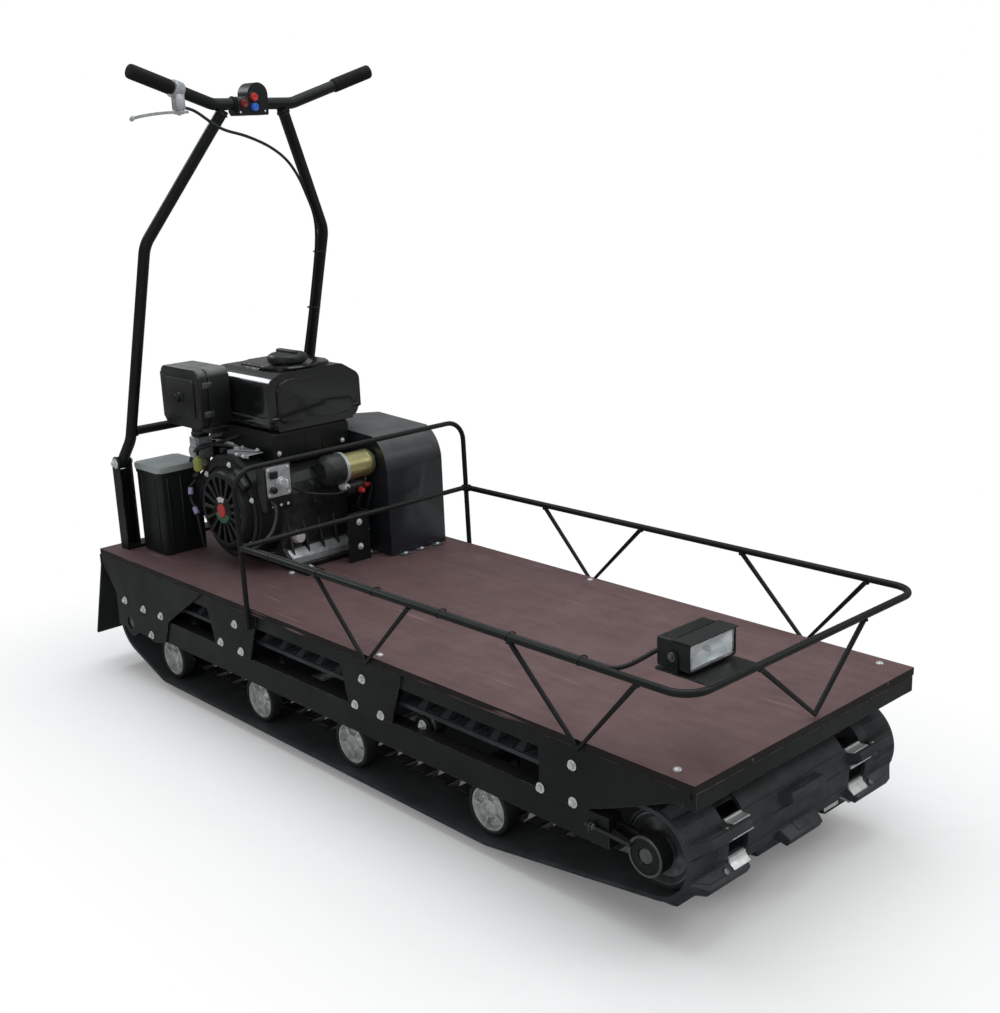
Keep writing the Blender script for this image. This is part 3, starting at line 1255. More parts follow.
def build_idler_ends():
    """Tension screws and the bearing plates' light rims at the idler."""
    x, z, _ = GEAR[1]
    rims = []
    screws = []
    nuts = []
    for side in SIDES:
        rim = [(0.03, side * 0.2611), (0.0262, side * 0.2611), (0.0262, side * 0.2626),
               (0.0285, side * 0.2632), (0.03, side * 0.2622)]
        rims.append(turned(rim, (x, z), sides=36, ring=True))
        screws.append([(1.4, side * 0.2655, 0.15), (1.482, side * 0.2655, 0.148)])
        nuts.append(((1.412, side * 0.2655, 0.15), FORWARD, 0.0058))
    piece(joined(*rims), "idler_rims", STEEL)
    rods("tension_screws", CAST, screws, 0.0028, sides=12)
    copies("tension_nuts", STEEL, BOLT, nuts)


# Handlebar

CLAMP_SHARE = 0.46
GRIP_RADIUS = 0.0134
GRIP_LENGTH = 0.086
LEVER_TOP = Vector((0.33012, -0.16804, 1.1459))
LEG_LOW = (0.095, 0.512)     # x and z of a leg above its foot
LEG_HIGH = (0.225, 0.905)    # and below its upper bend
POD_Z = BAR_BEND.z
BUTTONS = (("kill", -0.033, 0.0, DARK_RED), ("red", -0.01, 0.0115, RED), ("blue", -0.01, -0.0065, BLUE))


def leg_path(side):
    return [(PIVOT[0], side * LEG_Y, PIVOT[1]), (LEG_LOW[0], side * LEG_Y, LEG_LOW[1]),
            (LEG_HIGH[0], side * 0.208, LEG_HIGH[1]), (0.3155, side * 0.066, 1.146)]


def leg_share(z):
    """How far up a leg's straight part a height is, from 0 to 1."""
    return (z - LEG_LOW[1]) / (LEG_HIGH[1] - LEG_LOW[1])


def leg_x(z):
    return LEG_LOW[0] + leg_share(z) * (LEG_HIGH[0] - LEG_LOW[0])


def build_handlebar():
    right_end, right_bend = (Vector((point.x, -point.y, point.z)) for point in (BAR_END, BAR_BEND))
    bar = smoothed([right_end, right_bend, BAR_BEND, BAR_END], 0.05, 10)
    legs = [smoothed(leg_path(side), 0.07, 10) for side in SIDES]
    rods("bar_tubes", POWDER, [bar, *legs], BAR_RADIUS, "handlebar", body="steering_bar", sides=28)
    cross_x = leg_x(CROSS_TUBE_Z)
    reach = LEG_Y - BAR_RADIUS * 0.9
    rods("bar_cross_tube", POWDER, [[(cross_x, -reach, CROSS_TUBE_Z), (cross_x, reach, CROSS_TUBE_Z)]], 0.009,
         body="steering_bar", sides=22)
    welds = []
    eyes = []
    for side in SIDES:
        welds.append(weld_ring((cross_x, side * (reach - 0.001), CROSS_TUBE_Z), LEFT, 0.0095))
        lean = Vector(leg_path(side)[3]) - Vector(leg_path(side)[2])
        welds.append(weld_ring(Vector(leg_path(side)[3]) - lean.normalized() * 0.0075, lean, BAR_RADIUS, 30))
        low = side * LEG_Y - 0.0117
        eyes.append(turned([(0.0043, 0), (0.012, 0), (0.0128, 0.0008), (0.0128, 0.0226), (0.012, 0.0234),
                            (0.0043, 0.0234)], PIVOT, sides=28, ring=True, start=low))
    weld_beads("bar_welds", welds, "steering_bar")
    piece(joined(*eyes), "leg_eyes", POWDER, body="steering_bar")
    places = []
    for side in SIDES:
        places.append(((PIVOT[0], side * 0.23, PIVOT[1]), (0, side, 0), 0.0072))
        places.append(((PIVOT[0], side * 0.2, PIVOT[1]), (0, -side, 0), 0.0066))
    copies("pivot_bolts", ZINC, BOLT, places)
    build_grips()
    build_lever()
    build_pod()


def along_bar(profile, side, sides=28):
    """Turned piece on one half of the bar; along is measured back from the bar's end."""
    end = Vector((BAR_END.x, side * BAR_END.y, BAR_END.z))
    bend = Vector((BAR_BEND.x, side * BAR_BEND.y, BAR_BEND.z))
    shape = turned(profile, (0, 0), "Z", sides)
    turn = (end - bend).to_track_quat("Z", "Y").to_matrix().to_4x4()
    return moved(shape, Matrix.Translation(end) @ turn)


def build_grips():
    for name, side in (("grip_right", -1), ("grip_left", 1)):
        profile = [(0.01, 0.0032), (0.0126, 0.0018), (GRIP_RADIUS, -0.002)]
        for k in range(12):
            along = -0.006 - 0.0063 * k
            profile += [(GRIP_RADIUS, along), (GRIP_RADIUS - 0.0006, along - 0.001),
                        (GRIP_RADIUS, along - 0.002)]
        profile += [(GRIP_RADIUS, 0.003 - GRIP_LENGTH), (0.0128, 0.0015 - GRIP_LENGTH),
                    (0.0114, 0.0014 - GRIP_LENGTH)]
        piece(along_bar(profile, side), name + "_foam", FOAM, name, body="steering_bar")


def build_lever():
    """Clamp, perch and blade of the throttle lever, with the ball at its tip."""
    x, y, top = LEVER_TOP
    away = -(BAR_END - BAR_BEND).length * (1 - CLAMP_SHARE)
    collar = along_bar([(0.015, away - 0.01), (0.016, away - 0.009), (0.016, away + 0.009),
                        (0.015, away + 0.01)], -1)
    foot = block((x - 0.01, y - 0.009, top + 0.0004), (x + 0.01, y + 0.009, top + 0.029), 0.0022, 3)
    barrel = turned([(0.0052, 0.006), (0.0052, 0.0092)], (x, top + 0.005), start=y)
    hub = turned([(0.0085, -0.0068), (0.0092, -0.006), (0.0092, 0.0002)], (x, y), "Z", 28, start=top)
    piece(joined(collar, foot, barrel), "lever_perch", BRIGHT_CAST, "lever_clamp", body="steering_bar")
    outline = [(x - 0.007, y + 0.016), (x + 0.007, y + 0.019), (x + 0.01, y), (x - 0.004, y - 0.03),
               (x - 0.03, y - 0.06), (x - 0.0355, y - 0.074), (x - 0.0415, y - 0.073), (x - 0.04, y - 0.058),
               (x - 0.016, y - 0.026), (x - 0.008, y)]
    blade = prism(rounded(outline, 0.01, 6), "Z", top - 0.0055, top - 0.0005, 0.0018, 3)
    bmesh.ops.subdivide_edges(blade, edges=[edge for edge in blade.edges
                                            if edge.calc_length() > 0.01], cuts=4)
    bmesh.ops.triangulate(blade, faces=[face for face in blade.faces if len(face.verts) > 4])
    whole = joined(hub, blade, ball((x - 0.0385, y - 0.0745, top - 0.003), 0.0048))
    for vertex in whole.verts:
        reach = max(y - 0.01 - vertex.co.y, 0.0) / 0.065
        vertex.co.z -= 0.0085 * reach * reach
    piece(whole, "lever_blade", BRIGHT_CAST, "throttle_lever", body="gas_lever")
    copies("lever_screws", ZINC, BOLT, [((x + 0.004, y, top + 0.029), UP, 0.0034),
                                        ((x - 0.01, y, top + 0.012), BACK, 0.003)], "steering_bar")
    copies("lever_pin", ZINC, DOME, [((x, y, top - 0.0068), DOWN, 0.004)], "gas_lever")


def build_pod():
    x = BAR_BEND.x
    low_part = rounded([(x - 0.0165, POD_Z - 0.0215), (x + 0.018, POD_Z - 0.0215), (x + 0.018, POD_Z + 0.013),
                        (x - 0.0165, POD_Z + 0.013)], 0.007, 6)
    body = prism(low_part, "Y", -0.045, -0.019, 0.0026, 3)
    outline = [(-0.0216, POD_Z - 0.019), (-0.0196, POD_Z - 0.021), (0.0206, POD_Z - 0.021),
               (0.0226, POD_Z - 0.019), *arc((0.0005, POD_Z + 0.016), 0.0221, 0, 180, 20)]
    hood = prism(outline, "X", x - 0.017, x + 0.0181, 0.0014, 3)
    collars = []
    rims = []
    front = x + 0.018
    low = front - 0.0014
    for name, y, z, look in BUTTONS:
        rims.append(turned([(0.0079, -0.001), (0.0096, -0.001), (0.0096, 0.0006), (0.0088, 0.0014),
                            (0.0079, 0.001)], (y, POD_Z + z), "X", 28, ring=True, start=front))
        cap = turned([(0.0072, 0), (0.0075, 0.0004), (0.0075, 0.0068), (0.0069, 0.0082), (0.0055, 0.009),
                      (0.003, 0.0086), (0, 0.0085)], (y, POD_Z + z), "X", 28, start=low)
        piece(cap, f"button_{name}_cap", look, f"button_{name}", body=f"{name}_key")
    for y in (-0.0475, 0.0215):
        collars.append(turned([(0.0138, 0), (0.0145, 0.0007), (0.0145, 0.0023), (0.0138, 0.003)],
                              (x, POD_Z), sides=28, start=y))
    piece(joined(body, hood, *collars, *rims), "pod_shell", PLASTIC, "switch_pod", body="steering_bar")
    screws = [((x + 0.0178, -0.04, POD_Z - 0.0155), FORWARD, 0.0022),
              ((x + 0.0178, 0.0145, POD_Z - 0.014), FORWARD, 0.0022)]
    copies("pod_screws", ZINC, DOME, screws, "steering_bar")


def build_cables():
    x, y, top = LEVER_TOP
    rise = top + 0.005
    inside = 0.208 - BAR_RADIUS - 0.0042
    low_y = LEG_Y - 0.0188
    front_x = leg_x(CROSS_TUBE_Z) + 0.0135
    upper = [(x, y + 0.0093, rise), (x, y + 0.018, rise - 0.001), (x + 0.004, y + 0.032, rise - 0.007),
             (0.352, y + 0.07, 1.112), (0.357, -0.05, 1.098), (0.322, 0.03, 1.074), (0.292, 0.092, 1.04),
             (0.262, 0.143, 0.985), (0.234, inside - 0.01, 0.905), (0.182, inside, 0.752),
             (0.132, inside, 0.6), (front_x, inside, CROSS_TUBE_Z + 0.01),
             (front_x - 0.003, inside, CROSS_TUBE_Z - 0.012), (PIVOT[0] + 0.03, low_y, 0.496),
             (PIVOT[0] + 0.006, low_y, PIVOT[1] + 0.02), (PIVOT[0], low_y, PIVOT[1] + 0.009),
             (PIVOT[0], low_y, PIVOT[1] + 0.004)]
    cable("cable_upper", eased(smooth_route(upper, 0.006), 6), 0.0028, "throttle_cable_upper",
          "stiff", "steering_bar")
    arm_x, arm_z = 0.182, 0.523  # beside the arm, which swings past the sheath's end
    lower = [(PIVOT[0], low_y, PIVOT[1] - 0.004), (PIVOT[0], low_y, PIVOT[1] - 0.012),
             (PIVOT[0], low_y - 0.002, PIVOT[1] - 0.03), (0.05, 0.16, 0.405), (0.056, 0.112, 0.415),
             (0.08, 0.086, 0.452), (0.13, 0.078, 0.5), (0.156, 0.062, 0.534), (0.16, 0.03, 0.54),
             (0.164, -0.01, 0.539), (0.174, -0.055, 0.531), (arm_x, -0.084, arm_z + 0.0005),
             (arm_x, -0.095, arm_z)]
    cable("cable_lower", eased(smooth_route(lower, 0.006), 6), 0.0028, "throttle_cable_lower", "stiff")
    piece(ball((PIVOT[0], low_y, PIVOT[1]), 0.0043), "cable_joint", CORD)
    rods("cable_wire", STEEL, [[(arm_x, -0.093, arm_z), (arm_x, -0.121, arm_z)]], 0.0007, sides=8)
    ferrule = turned([(0.0026, -0.0955), (0.0034, -0.0948), (0.0034, -0.0872), (0.003, -0.0866)],
                     (arm_x, arm_z), "Y", 20)
    piece(ferrule, "cable_ferrule", ZINC)
    ties = []
    for z in (0.6, 0.74, 0.86):
        middle = (leg_x(z), LEG_Y - 0.007 * leg_share(z) - 0.0035, z)
        ties.append(tie_loop(middle, (0.0118, 0, 0), (0, 0.015, 0)))
    rods("cable_ties", CORD, ties, 0.0011, body="steering_bar", sides=8)


# Engine

CRANK = (0.335, 0.3934)
CRANK_X, CRANK_Z = CRANK
ENGINE_LEFT = 0.07
ENGINE_RIGHT = -0.09
SHROUD_RIGHT = -0.142
SHROUD_RADIUS = 0.105
RECOIL_RADIUS = 0.078
HEAD_END = 0.205
BASE_TOP = DECK_TOP + 0.0103
TANK_LOW = DECK_TOP + 0.272
TANK_HIGH = DECK_TOP + 0.385
CAP = (0.362, 0.0)
CLEANER_LOW = DECK_TOP + 0.275
CLEANER_HIGH = DECK_TOP + 0.392
STARTER = (0.476, DECK_TOP + 0.19)
CYLINDER_TILT = math.radians(25.0)
CARBURETTOR = (0.205, -0.118)
FILTER_AT = (0.244, -0.152)
PANEL_FRONT = 0.4623
KEY_AT = (-0.105, 0.46)
CYLINDER_TURN = Matrix.Translation((CRANK_X, 0, CRANK_Z)) @ Matrix.Rotation(CYLINDER_TILT, 4, "Y")


def tilted(shape):
    """Shape turned into place with the cylinder, whose axis leans back and up."""
    return moved(shape, CYLINDER_TURN)


def tilted_point(x, y, z):
    return CYLINDER_TURN @ Vector((x, y, z))


def build_engine():
    build_tank()
    build_cleaner()
    build_carburettor()
    build_cylinder()
    build_muffler()
    build_shroud()
    build_case_details()
    build_starter()
    build_panel()


def build_tank():
    right, left = -0.093, 0.126
    section = rounded([(right, TANK_LOW), (left, TANK_LOW), (left, TANK_HIGH - 0.026),
                       (left - 0.042, TANK_HIGH), (right + 0.032, TANK_HIGH),
                       (right, TANK_HIGH - 0.014)], 0.022, 7)
    tank = prism(section, "X", 0.225, 0.424, 0.013, 6)
    middle, level = (right + left) / 2, 0.6035
    panel = [(middle + (y - middle) * 0.82, level + (z - level) * 0.74) for y, z in section]
    front = prism(panel, "X", 0.42, 0.4278, 0.003, 4)
    seam = prism(rectangle((0.2215, right - 0.0035), (0.4255, left + 0.0035), 0.016, 6), "Z",
                 TANK_LOW + 0.026, TANK_LOW + 0.0285, 0.0008, 2)
    rise = prism(rectangle((0.245, right + 0.042), (0.408, left - 0.042), 0.036, 8), "Z", TANK_HIGH - 0.004,
                 TANK_HIGH + 0.0052, 0.0045, 4)
    neck = turned([(0.03, 0), (0.03, 0.0076)], CAP, "Z", 36, start=TANK_HIGH)
    skirt = turned([(0.06, 0.004), (0.058, 0.0072), (0.052, 0.008), (0.044, 0.0076), (0.04, 0.0066)], CAP,
                   "Z", 48, start=TANK_HIGH)
    piece(joined(tank, front, rise, neck, skirt), "tank_shell", GLOSS, "fuel_tank", angle=40.0)
    piece(seam, "tank_seam", STEEL)
    build_cowl()
    low = TANK_HIGH + 0.0083
    cap = turned([(0.0355, 0), (0.0385, 0.0025), (0.039, 0.011), (0.037, 0.015), (0.032, 0.018),
                  (0.022, 0.0192), (0, 0.0185)], CAP, "Z", 44, start=low)
    bar = block((CAP[0] - 0.03, -0.0065, low + 0.012), (CAP[0] + 0.03, 0.0065, low + 0.0248), 0.003, 4)
    piece(joined(cap, bar), "cap_shell", PLASTIC, "fuel_cap", body="tank_cap")
    rib = master_of(block((-0.7, -0.45, 0.0), (0.7, 0.45, 1.0), 0.25, 2), "cap_rib")
    places = []
    for heading in arc((0, 0), 1.0, 0, 348, 29):
        ahead = Vector((*heading, 0))
        places.append((Vector((*CAP, low + 0.007)) + ahead * 0.0382, ahead, 0.0016))
    copies("cap_ribs", PLASTIC, rib, places, "tank_cap")
    bolts = [((x, y, TANK_LOW + 0.0285), UP, 0.0038) for x in (0.236, 0.414)
             for y in (right + 0.006, left - 0.006)]
    copies("tank_bolts", ZINC, BOLT, bolts)
    drop = [(0.3, -0.07, TANK_LOW), (0.296, -0.086, TANK_LOW - 0.022), (0.262, -0.15, 0.508),
            (0.246, -0.152, 0.498), (0.244, -0.152, 0.4895)]
    hoses("fuel_hose", [drop], 0.0036)


def build_cowl():
    """Air guide between the cylinder, the crankcase and the tank."""
    low = CRANK_Z + 0.0785
    side = rounded([(0.232, low + 0.014), (0.25, low), (0.392, low), (0.4155, low + 0.016),
                    (0.4155, TANK_LOW - 0.0006), (0.232, TANK_LOW - 0.0006)], 0.008, 5)
    hood = prism(side, "Y", -0.0855, 0.096, 0.005, 4)
    ribs = [block((0.415, y, low + 0.022), (0.4172, y + 0.004, TANK_LOW - 0.012), 0.0008, 1)
            for y in (-0.05, -0.01, 0.03)]
    piece(joined(hood, *ribs), "engine_cowl", SATIN, angle=40.0)
    screws = [((0.4155, y, low + 0.03), FORWARD, 0.0034) for y in (-0.072, 0.08)]
    copies("cowl_screws", ZINC, BOLT, screws)


def build_cleaner():
    section = rectangle((0.155, CLEANER_LOW), (0.3, CLEANER_HIGH), 0.014, 6)
    case = prism(section, "Y", -0.1455, -0.098, 0.003, 3)
    inset = [(x * 0.955 + 0.0102, z * 0.955 + 0.0273) for x, z in section]
    groove = prism(inset, "Y", -0.148, -0.145)
    lid = prism(section, "Y", -0.1665, -0.1475, 0.005, 4)
    pad = prism([(x * 0.72 + 0.0637, z * 0.66 + 0.2063) for x, z in section], "Y",
                -0.1685, -0.1655, 0.0016, 3)
    elbow = turned([(0.017, -0.03), (0.0185, -0.027), (0.0185, -0.022), (0.0165, -0.02), (0.0165, 0.002)],
                   CARBURETTOR, "Z", 28, start=CLEANER_LOW)
    snout = prism(rectangle((0.25, CLEANER_LOW - 0.012), (0.292, CLEANER_LOW + 0.004), 0.004, 4), "Y",
                  -0.142, -0.104, 0.002, 3)
    piece(joined(case, groove, lid, pad, elbow, snout), "cleaner_shell", DUSTY_SATIN,
          "air_cleaner", angle=40.0)
    clips = []
    for z in (CLEANER_LOW + 0.03, CLEANER_LOW + 0.087):
        for x in (0.1545, 0.3005):
            clips.append(block((x - 0.0022, -0.16, z - 0.006), (x + 0.0022, -0.138, z + 0.006), 0.001, 2))
    piece(joined(*clips), "cleaner_clips", STEEL)
    knob = turned([(0.0062, -0.179), (0.0085, -0.1765), (0.0085, -0.1715), (0.011, -0.169), (0.011, -0.168)],
                  (0.2275, 0.6069), "Y", 24)
    piece(knob, "cleaner_knob", PLASTIC)


def build_carburettor():
    x, y = CARBURETTOR
    top = CLEANER_LOW - 0.0303
    low = top - 0.045
    body = block((x - 0.017, -0.136, low), (x + 0.017, -0.1005, top), 0.0035, 3)
    throat = turned([(0.0125, -0.136), (0.0135, -0.1372), (0.0135, -0.141)],
                    (x + 0.001, low + 0.016), "Y", 24)
    bowl = turned([(0.0042, -0.0252), (0.0048, -0.0215), (0.0105, -0.0205), (0.0148, -0.016),
                   (0.0148, -0.0035), (0.0162, -0.0028), (0.0162, -0.0004)], (x, y), "Z", 32, start=low)
    boss = block((x + 0.004, -0.1395, top - 0.014), (x + 0.016, -0.1355, top - 0.004), 0.0012, 2)
    piece(joined(body, throat, bowl, boss), "carburettor_body", BRIGHT_CAST, "carburettor", angle=40.0)
    spacer = block((x - 0.012, -0.1008, low + 0.003), (x + 0.012, -0.0625, top - 0.006), 0.002, 2)
    piece(spacer, "carburettor_spacer", SATIN)
    screws = [((x - 0.01, -0.136, top - 0.008), RIGHT, 0.0024),
              ((x - 0.01, -0.136, low + 0.008), RIGHT, 0.0024),
              ((x + 0.012, -0.136, low + 0.036), RIGHT, 0.0024), ((x, y, low - 0.0252), DOWN, 0.0032)]
    copies("carburettor_screws", YELLOW_ZINC, DOME, screws)
    arm_z = top - 0.02
    arm = prism(rounded([(y - 0.008, arm_z - 0.006), (y + 0.008, arm_z - 0.006), (y + 0.006, 0.528),
                         (y - 0.006, 0.528)], 0.005, 5), "X", x - 0.0212, x - 0.0176, 0.0006, 1)
    pin = turned([(0.0036, -0.0225), (0.0036, -0.0176)], (y, arm_z), "X", 16, start=x)
    piece(joined(arm, pin), "throttle_arm_plate", YELLOW_ZINC, "throttle_arm", body="gas_arm")
    lever = prism(rounded([(x - 0.004, arm_z - 0.005), (x + 0.035, arm_z - 0.003), (x + 0.035, arm_z + 0.004),
                           (x - 0.004, arm_z + 0.005)], 0.0035, 5), "Y", -0.1392, -0.1364, 0.0006, 1)
    knob = turned([(0.0042, -0.145), (0.0048, -0.144), (0.0048, -0.1392)], (x + 0.031, arm_z), "Y", 18)
    piece(lever, "choke_plate", ZINC, "choke_lever", body="choke")
    piece(knob, "choke_knob", LILAC, body="choke")
    cup = turned([(0.006, 0.457), (0.009, 0.46), (0.0098, 0.462), (0.0098, 0.48), (0.0076, 0.483),
                  (0.0032, 0.485), (0.0032, 0.49)], FILTER_AT, "Z", 28)
    piece(cup, "fuel_filter", YELLOW)
    link = [(*FILTER_AT, 0.4575), (0.24, -0.152, 0.448), (0.222, -0.15, 0.442), (0.21, -0.138, 0.445)]
    drain = [(0.205, -0.1245, 0.43), (0.203, -0.14, 0.426), (0.202, -0.151, 0.415), (0.206, -0.153, 0.39),
             (0.222, -0.153, 0.366), (0.228, -0.15, 0.32), (0.23, -0.148, 0.295)]
    rods("filter_hose", CORD, [smooth_route(link, 0.003), smooth_route(drain, 0.004)], 0.0034, sides=12)
    sleeves = [[(0.2025, -0.1505, 0.4165), (0.2035, -0.1525, 0.403)], [(0.215, -0.1532, 0.377),
                                                                       (0.2225, -0.1532, 0.365)]]
    rods("hose_sleeves", LILAC, sleeves, 0.0056)


def build_cylinder():
    fins = []
    for number in range(9):
        x = -HEAD_END + 0.03 + number * 0.0078
        outline = rectangle((-0.06, -0.048), (0.06, 0.048), 0.01, 4)
        fin = prism(outline, "X", x, x + 0.0026, 0.0007, 1)
        fins.append(tilted(fin))
    barrel = tilted(turned([(0.039, -0.19), (0.039, -0.0965)], (0, 0), "X", 36))
    head = tilted(block((-HEAD_END, -0.05, -0.043), (-HEAD_END + 0.024, 0.05, 0.043), 0.003, 2))
    ribs = []
    for number in range(7):
        z = -0.044 + number * 0.0138
        ribs.append(tilted(block((-HEAD_END + 0.0015, -0.0585, z),
                                 (-HEAD_END + 0.022, 0.0585, z + 0.0028), 0.0008, 1)))
    piece(joined(barrel, head, *ribs, *fins), "cylinder_fins", CAST, "cylinder", angle=40.0)
    near = -HEAD_END - 0.0003
    cover = prism(rectangle((-0.048, -0.042), (0.048, 0.042), 0.012, 5), "X", near - 0.031, near, 0.006, 4)
    rim = prism(rectangle((-0.0515, -0.0455), (0.0515, 0.0455), 0.01, 5), "X", near - 0.0045,
                near - 0.0003, 0.0008, 2)
    piece(joined(tilted(cover), tilted(rim)), "valve_cover_shell", GLOSS, "valve_cover", angle=40.0)
    ahead = CYLINDER_TURN.to_3x3() @ Vector((-1, 0, 0))
    bolts = [(tilted_point(near - 0.0045, y, z), ahead, 0.0036) for y in (-0.0455, 0.0455)
             for z in (-0.036, 0.036)]
    copies("cover_bolts", ZINC, BOLT, bolts)
    plug = turned([(0.0066, 0.0), (0.0066, 0.008), (0.0045, 0.01), (0.0045, 0.024), (0.0072, 0.026),
                   (0.008, 0.05), (0.0056, 0.056)], (0, 0), "Z", 20)
    spot = tilted_point(-HEAD_END + 0.01, -0.056, -0.012)
    heading = Vector((-0.25, -1.0, -0.15)).normalized()
    lean = heading.to_track_quat("Z", "Y").to_matrix().to_4x4()
    piece(moved(plug, Matrix.Translation(spot) @ lean), "spark_plug_cap", CORD)
    tip = spot + heading * 0.054
    wire = [tip, tip + Vector((0.01, -0.01, -0.004)), Vector((0.24, -0.144, 0.505)),
            Vector((0.29, -0.125, 0.512)), Vector((0.318, -0.105, 0.506))]
    hoses("spark_wire", [wire], 0.0034)


def build_muffler():
    centre = (0.135, DECK_TOP + 0.316)
    shell = turned([(0.034, -0.012), (0.04, -0.01), (0.0445, -0.004), (0.0445, 0.0965), (0.04, 0.103),
                    (0.034, 0.106)], centre, "Y", 40)
    seams = []
    for y in (0.0, 0.092):
        seams.append(turned([(0.044, 0), (0.0462, 0.0006), (0.0462, 0.0026), (0.044, 0.0032)], centre, "Y",
                            40, ring=True, start=y))
    piece(joined(shell, *seams), "muffler_shell", STEEL, "muffler")
    port = [tilted_point(-0.1925, 0.03, 0.0483), tilted_point(-0.1925, 0.03, 0.068),
            Vector((centre[0] + 0.02, 0.03, centre[1] - 0.02))]
    rods("exhaust_port", STEEL, [smoothed(port, 0.012, 6)], 0.01, sides=22)
    bands = []
    for number in range(8):
        y = -0.002 + number * 0.0132
        outer = arc(centre, 0.0512, 20, 215, 26)
        inner = arc(centre, 0.05, 235, -215, 26)
        bands.append(prism(outer + inner, "Y", y, y + 0.0066))
    for turn in range(20, 240, 43):
        bar = [(0.05, -0.0045), (0.0514, -0.0045), (0.0514, 0.0045), (0.05, 0.0045)]
        bands.append(prism(spoke(centre, math.radians(turn), bar), "Y", -0.004, 0.099))
    piece(joined(*bands), "muffler_guard", SATIN)


def build_shroud():
    """Fan housing with the recoil starter's louvred drum."""
    centre = (CRANK_X, CRANK_Z + 0.002)
    low = BASE_TOP
    points = [p for p in arc(centre, SHROUD_RADIUS, -55, 190, 40) if p[1] > low]
    points += [(0.218, CRANK_Z + 0.038), (0.184, CRANK_Z + 0.02), (0.19, CRANK_Z - 0.01),
               (0.245, CRANK_Z - 0.05)]
    body = prism(points, "Y", SHROUD_RIGHT, ENGINE_RIGHT - 0.0003, 0.005, 4)
    lip = turned([(0.088, 0.001), (0.098, 0.001), (0.098, -0.003), (0.0955, -0.0045), (0.088, -0.0045)],
                 CRANK, "Y", 56, ring=True, start=SHROUD_RIGHT)
    drum = turned([(0.066, -0.149), (0.066, -0.1612), (0.069, -0.162), (0.0735, -0.1605), (0.0775, -0.156),
                   (0.079, -0.152), (0.083, -0.143), (0.084, SHROUD_RIGHT + 0.001)], CRANK, "Y", 56)
    hub = turned([(0, -0.163), (0.025, -0.1628), (0.0285, -0.1612), (0.0295, -0.159),
                  (0.0295, -0.149)], CRANK, "Y", 36)
    spokes = []
    for number in range(16):
        louvre = [(0.02, -0.0022), (0.069, -0.005), (0.069, 0.005), (0.02, 0.0022)]
        louvre = spoke(CRANK, math.tau * number / 16, louvre)
        spokes.append(prism(louvre, "Y", -0.1612, -0.15, 0.0008, 1))
    piece(joined(body, lip, drum, hub, *spokes), "shroud_shell", SATIN, "fan_shroud", angle=40.0)
    bolts = ring_places(CRANK, 0.0925, SHROUD_RIGHT - 0.0045, range(-40, 201, 60), RIGHT, 0.004)
    copies("shroud_bolts", ZINC, BOLT, bolts)
    piece(turned([(0.066, -0.1492), (0.066, -0.1502)], CRANK, "Y", 48), "fan_screen", OLIVE)
    badge = turned([(0.013, -0.1648), (0.014, -0.164), (0.014, -0.1628)], CRANK, "Y", 32)
    piece(badge, "drum_cap", RED)
    for name, look, radius, start, sweep in (("drum_tag", GREEN, 0.015, 200, 140),
                                             ("drum_mark", BOOT, 0.0165, 65, 60)):
        sector = arc(CRANK, radius + 0.0105, start, sweep, 16) + arc(CRANK, radius, start + sweep, -sweep, 16)
        piece(prism(sector, "Y", -0.163, -0.1606, 0.0005, 1), name, look)
    turn = math.radians(48)
    reach = (SHROUD_RADIUS + RECOIL_RADIUS + 0.006) / 2
    pivot = Vector((CRANK_X + reach * math.cos(turn), SHROUD_RIGHT - 0.0003,
                    CRANK_Z + reach * math.sin(turn)))
    handle = block((-0.024, -0.018, -0.0065), (0.024, 0.0, 0.0065), 0.005, 4)
    spin = Matrix.Translation(pivot) @ Matrix.Rotation(-(turn + math.pi / 2), 4, "Y")
    piece(moved(handle, spin), "recoil_grip", PLASTIC, "recoil_handle", body="starter_grip")
    face = pivot.y
    steps = [face + 0.006, face + 0.0026, *[face + 0.0024 - 0.0001 * k for k in range(23)], face - 0.003]
    cord = turned([(0.0017, step) for step in steps], (pivot.x, pivot.z), sides=12)
    cord = to_object(cord, "recoil_cord", CORD)
    cord.data.transform(Matrix.Translation(SHIFT))
    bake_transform(cord)
    build_linkage()


def build_linkage():
    """Zinc plate, levers and springs of the governor above the fan housing."""
    plate = block((0.318, -0.128, 0.504), (0.392, -0.092, 0.5062), 0.0009, 1)
    fold = block((0.318, -0.1285, 0.4985), (0.392, -0.1265, 0.5062), 0.0008, 1)
    lever = prism(rounded([(0.33, -0.124), (0.344, -0.126), (0.386, -0.104), (0.38, -0.096)], 0.004, 4), "Z",
                  0.5075, 0.5095, 0.0005, 1)
    boss = turned([(0.0062, 0.506), (0.0062, 0.5125), (0.005, 0.514)], (0.338, -0.118), "Z", 20)
    piece(joined(plate, fold, lever, boss), "governor_plate", BRIGHT_CAST)
    copies("governor_screws", ZINC, BOLT, [((0.384, -0.101, 0.5095), UP, 0.0036),
                                           ((0.326, -0.098, 0.5062), UP, 0.0034),
                                           ((0.352, -0.1285, 0.502), RIGHT, 0.0032),
                                           ((0.376, -0.1285, 0.502), RIGHT, 0.0032)])
    coil = []
    for k in range(180):
        angle = k * math.tau / 12
        coil.append((0.25 + k * 0.00036, -0.108 + 0.003 * math.cos(angle), 0.513 + 0.003 * math.sin(angle)))
    link = [(0.222, -0.108, 0.512), (0.25, -0.105, 0.513)]
    hook = [(0.3144, -0.108, 0.513), (0.336, -0.112, 0.512)]
    rods("governor_spring", ZINC, [coil, link, hook], 0.0007, sides=6)
    piece(block((0.296, -0.133, 0.499), (0.31, -0.123, 0.508), 0.002, 2), "wire_clip", PLASTIC)


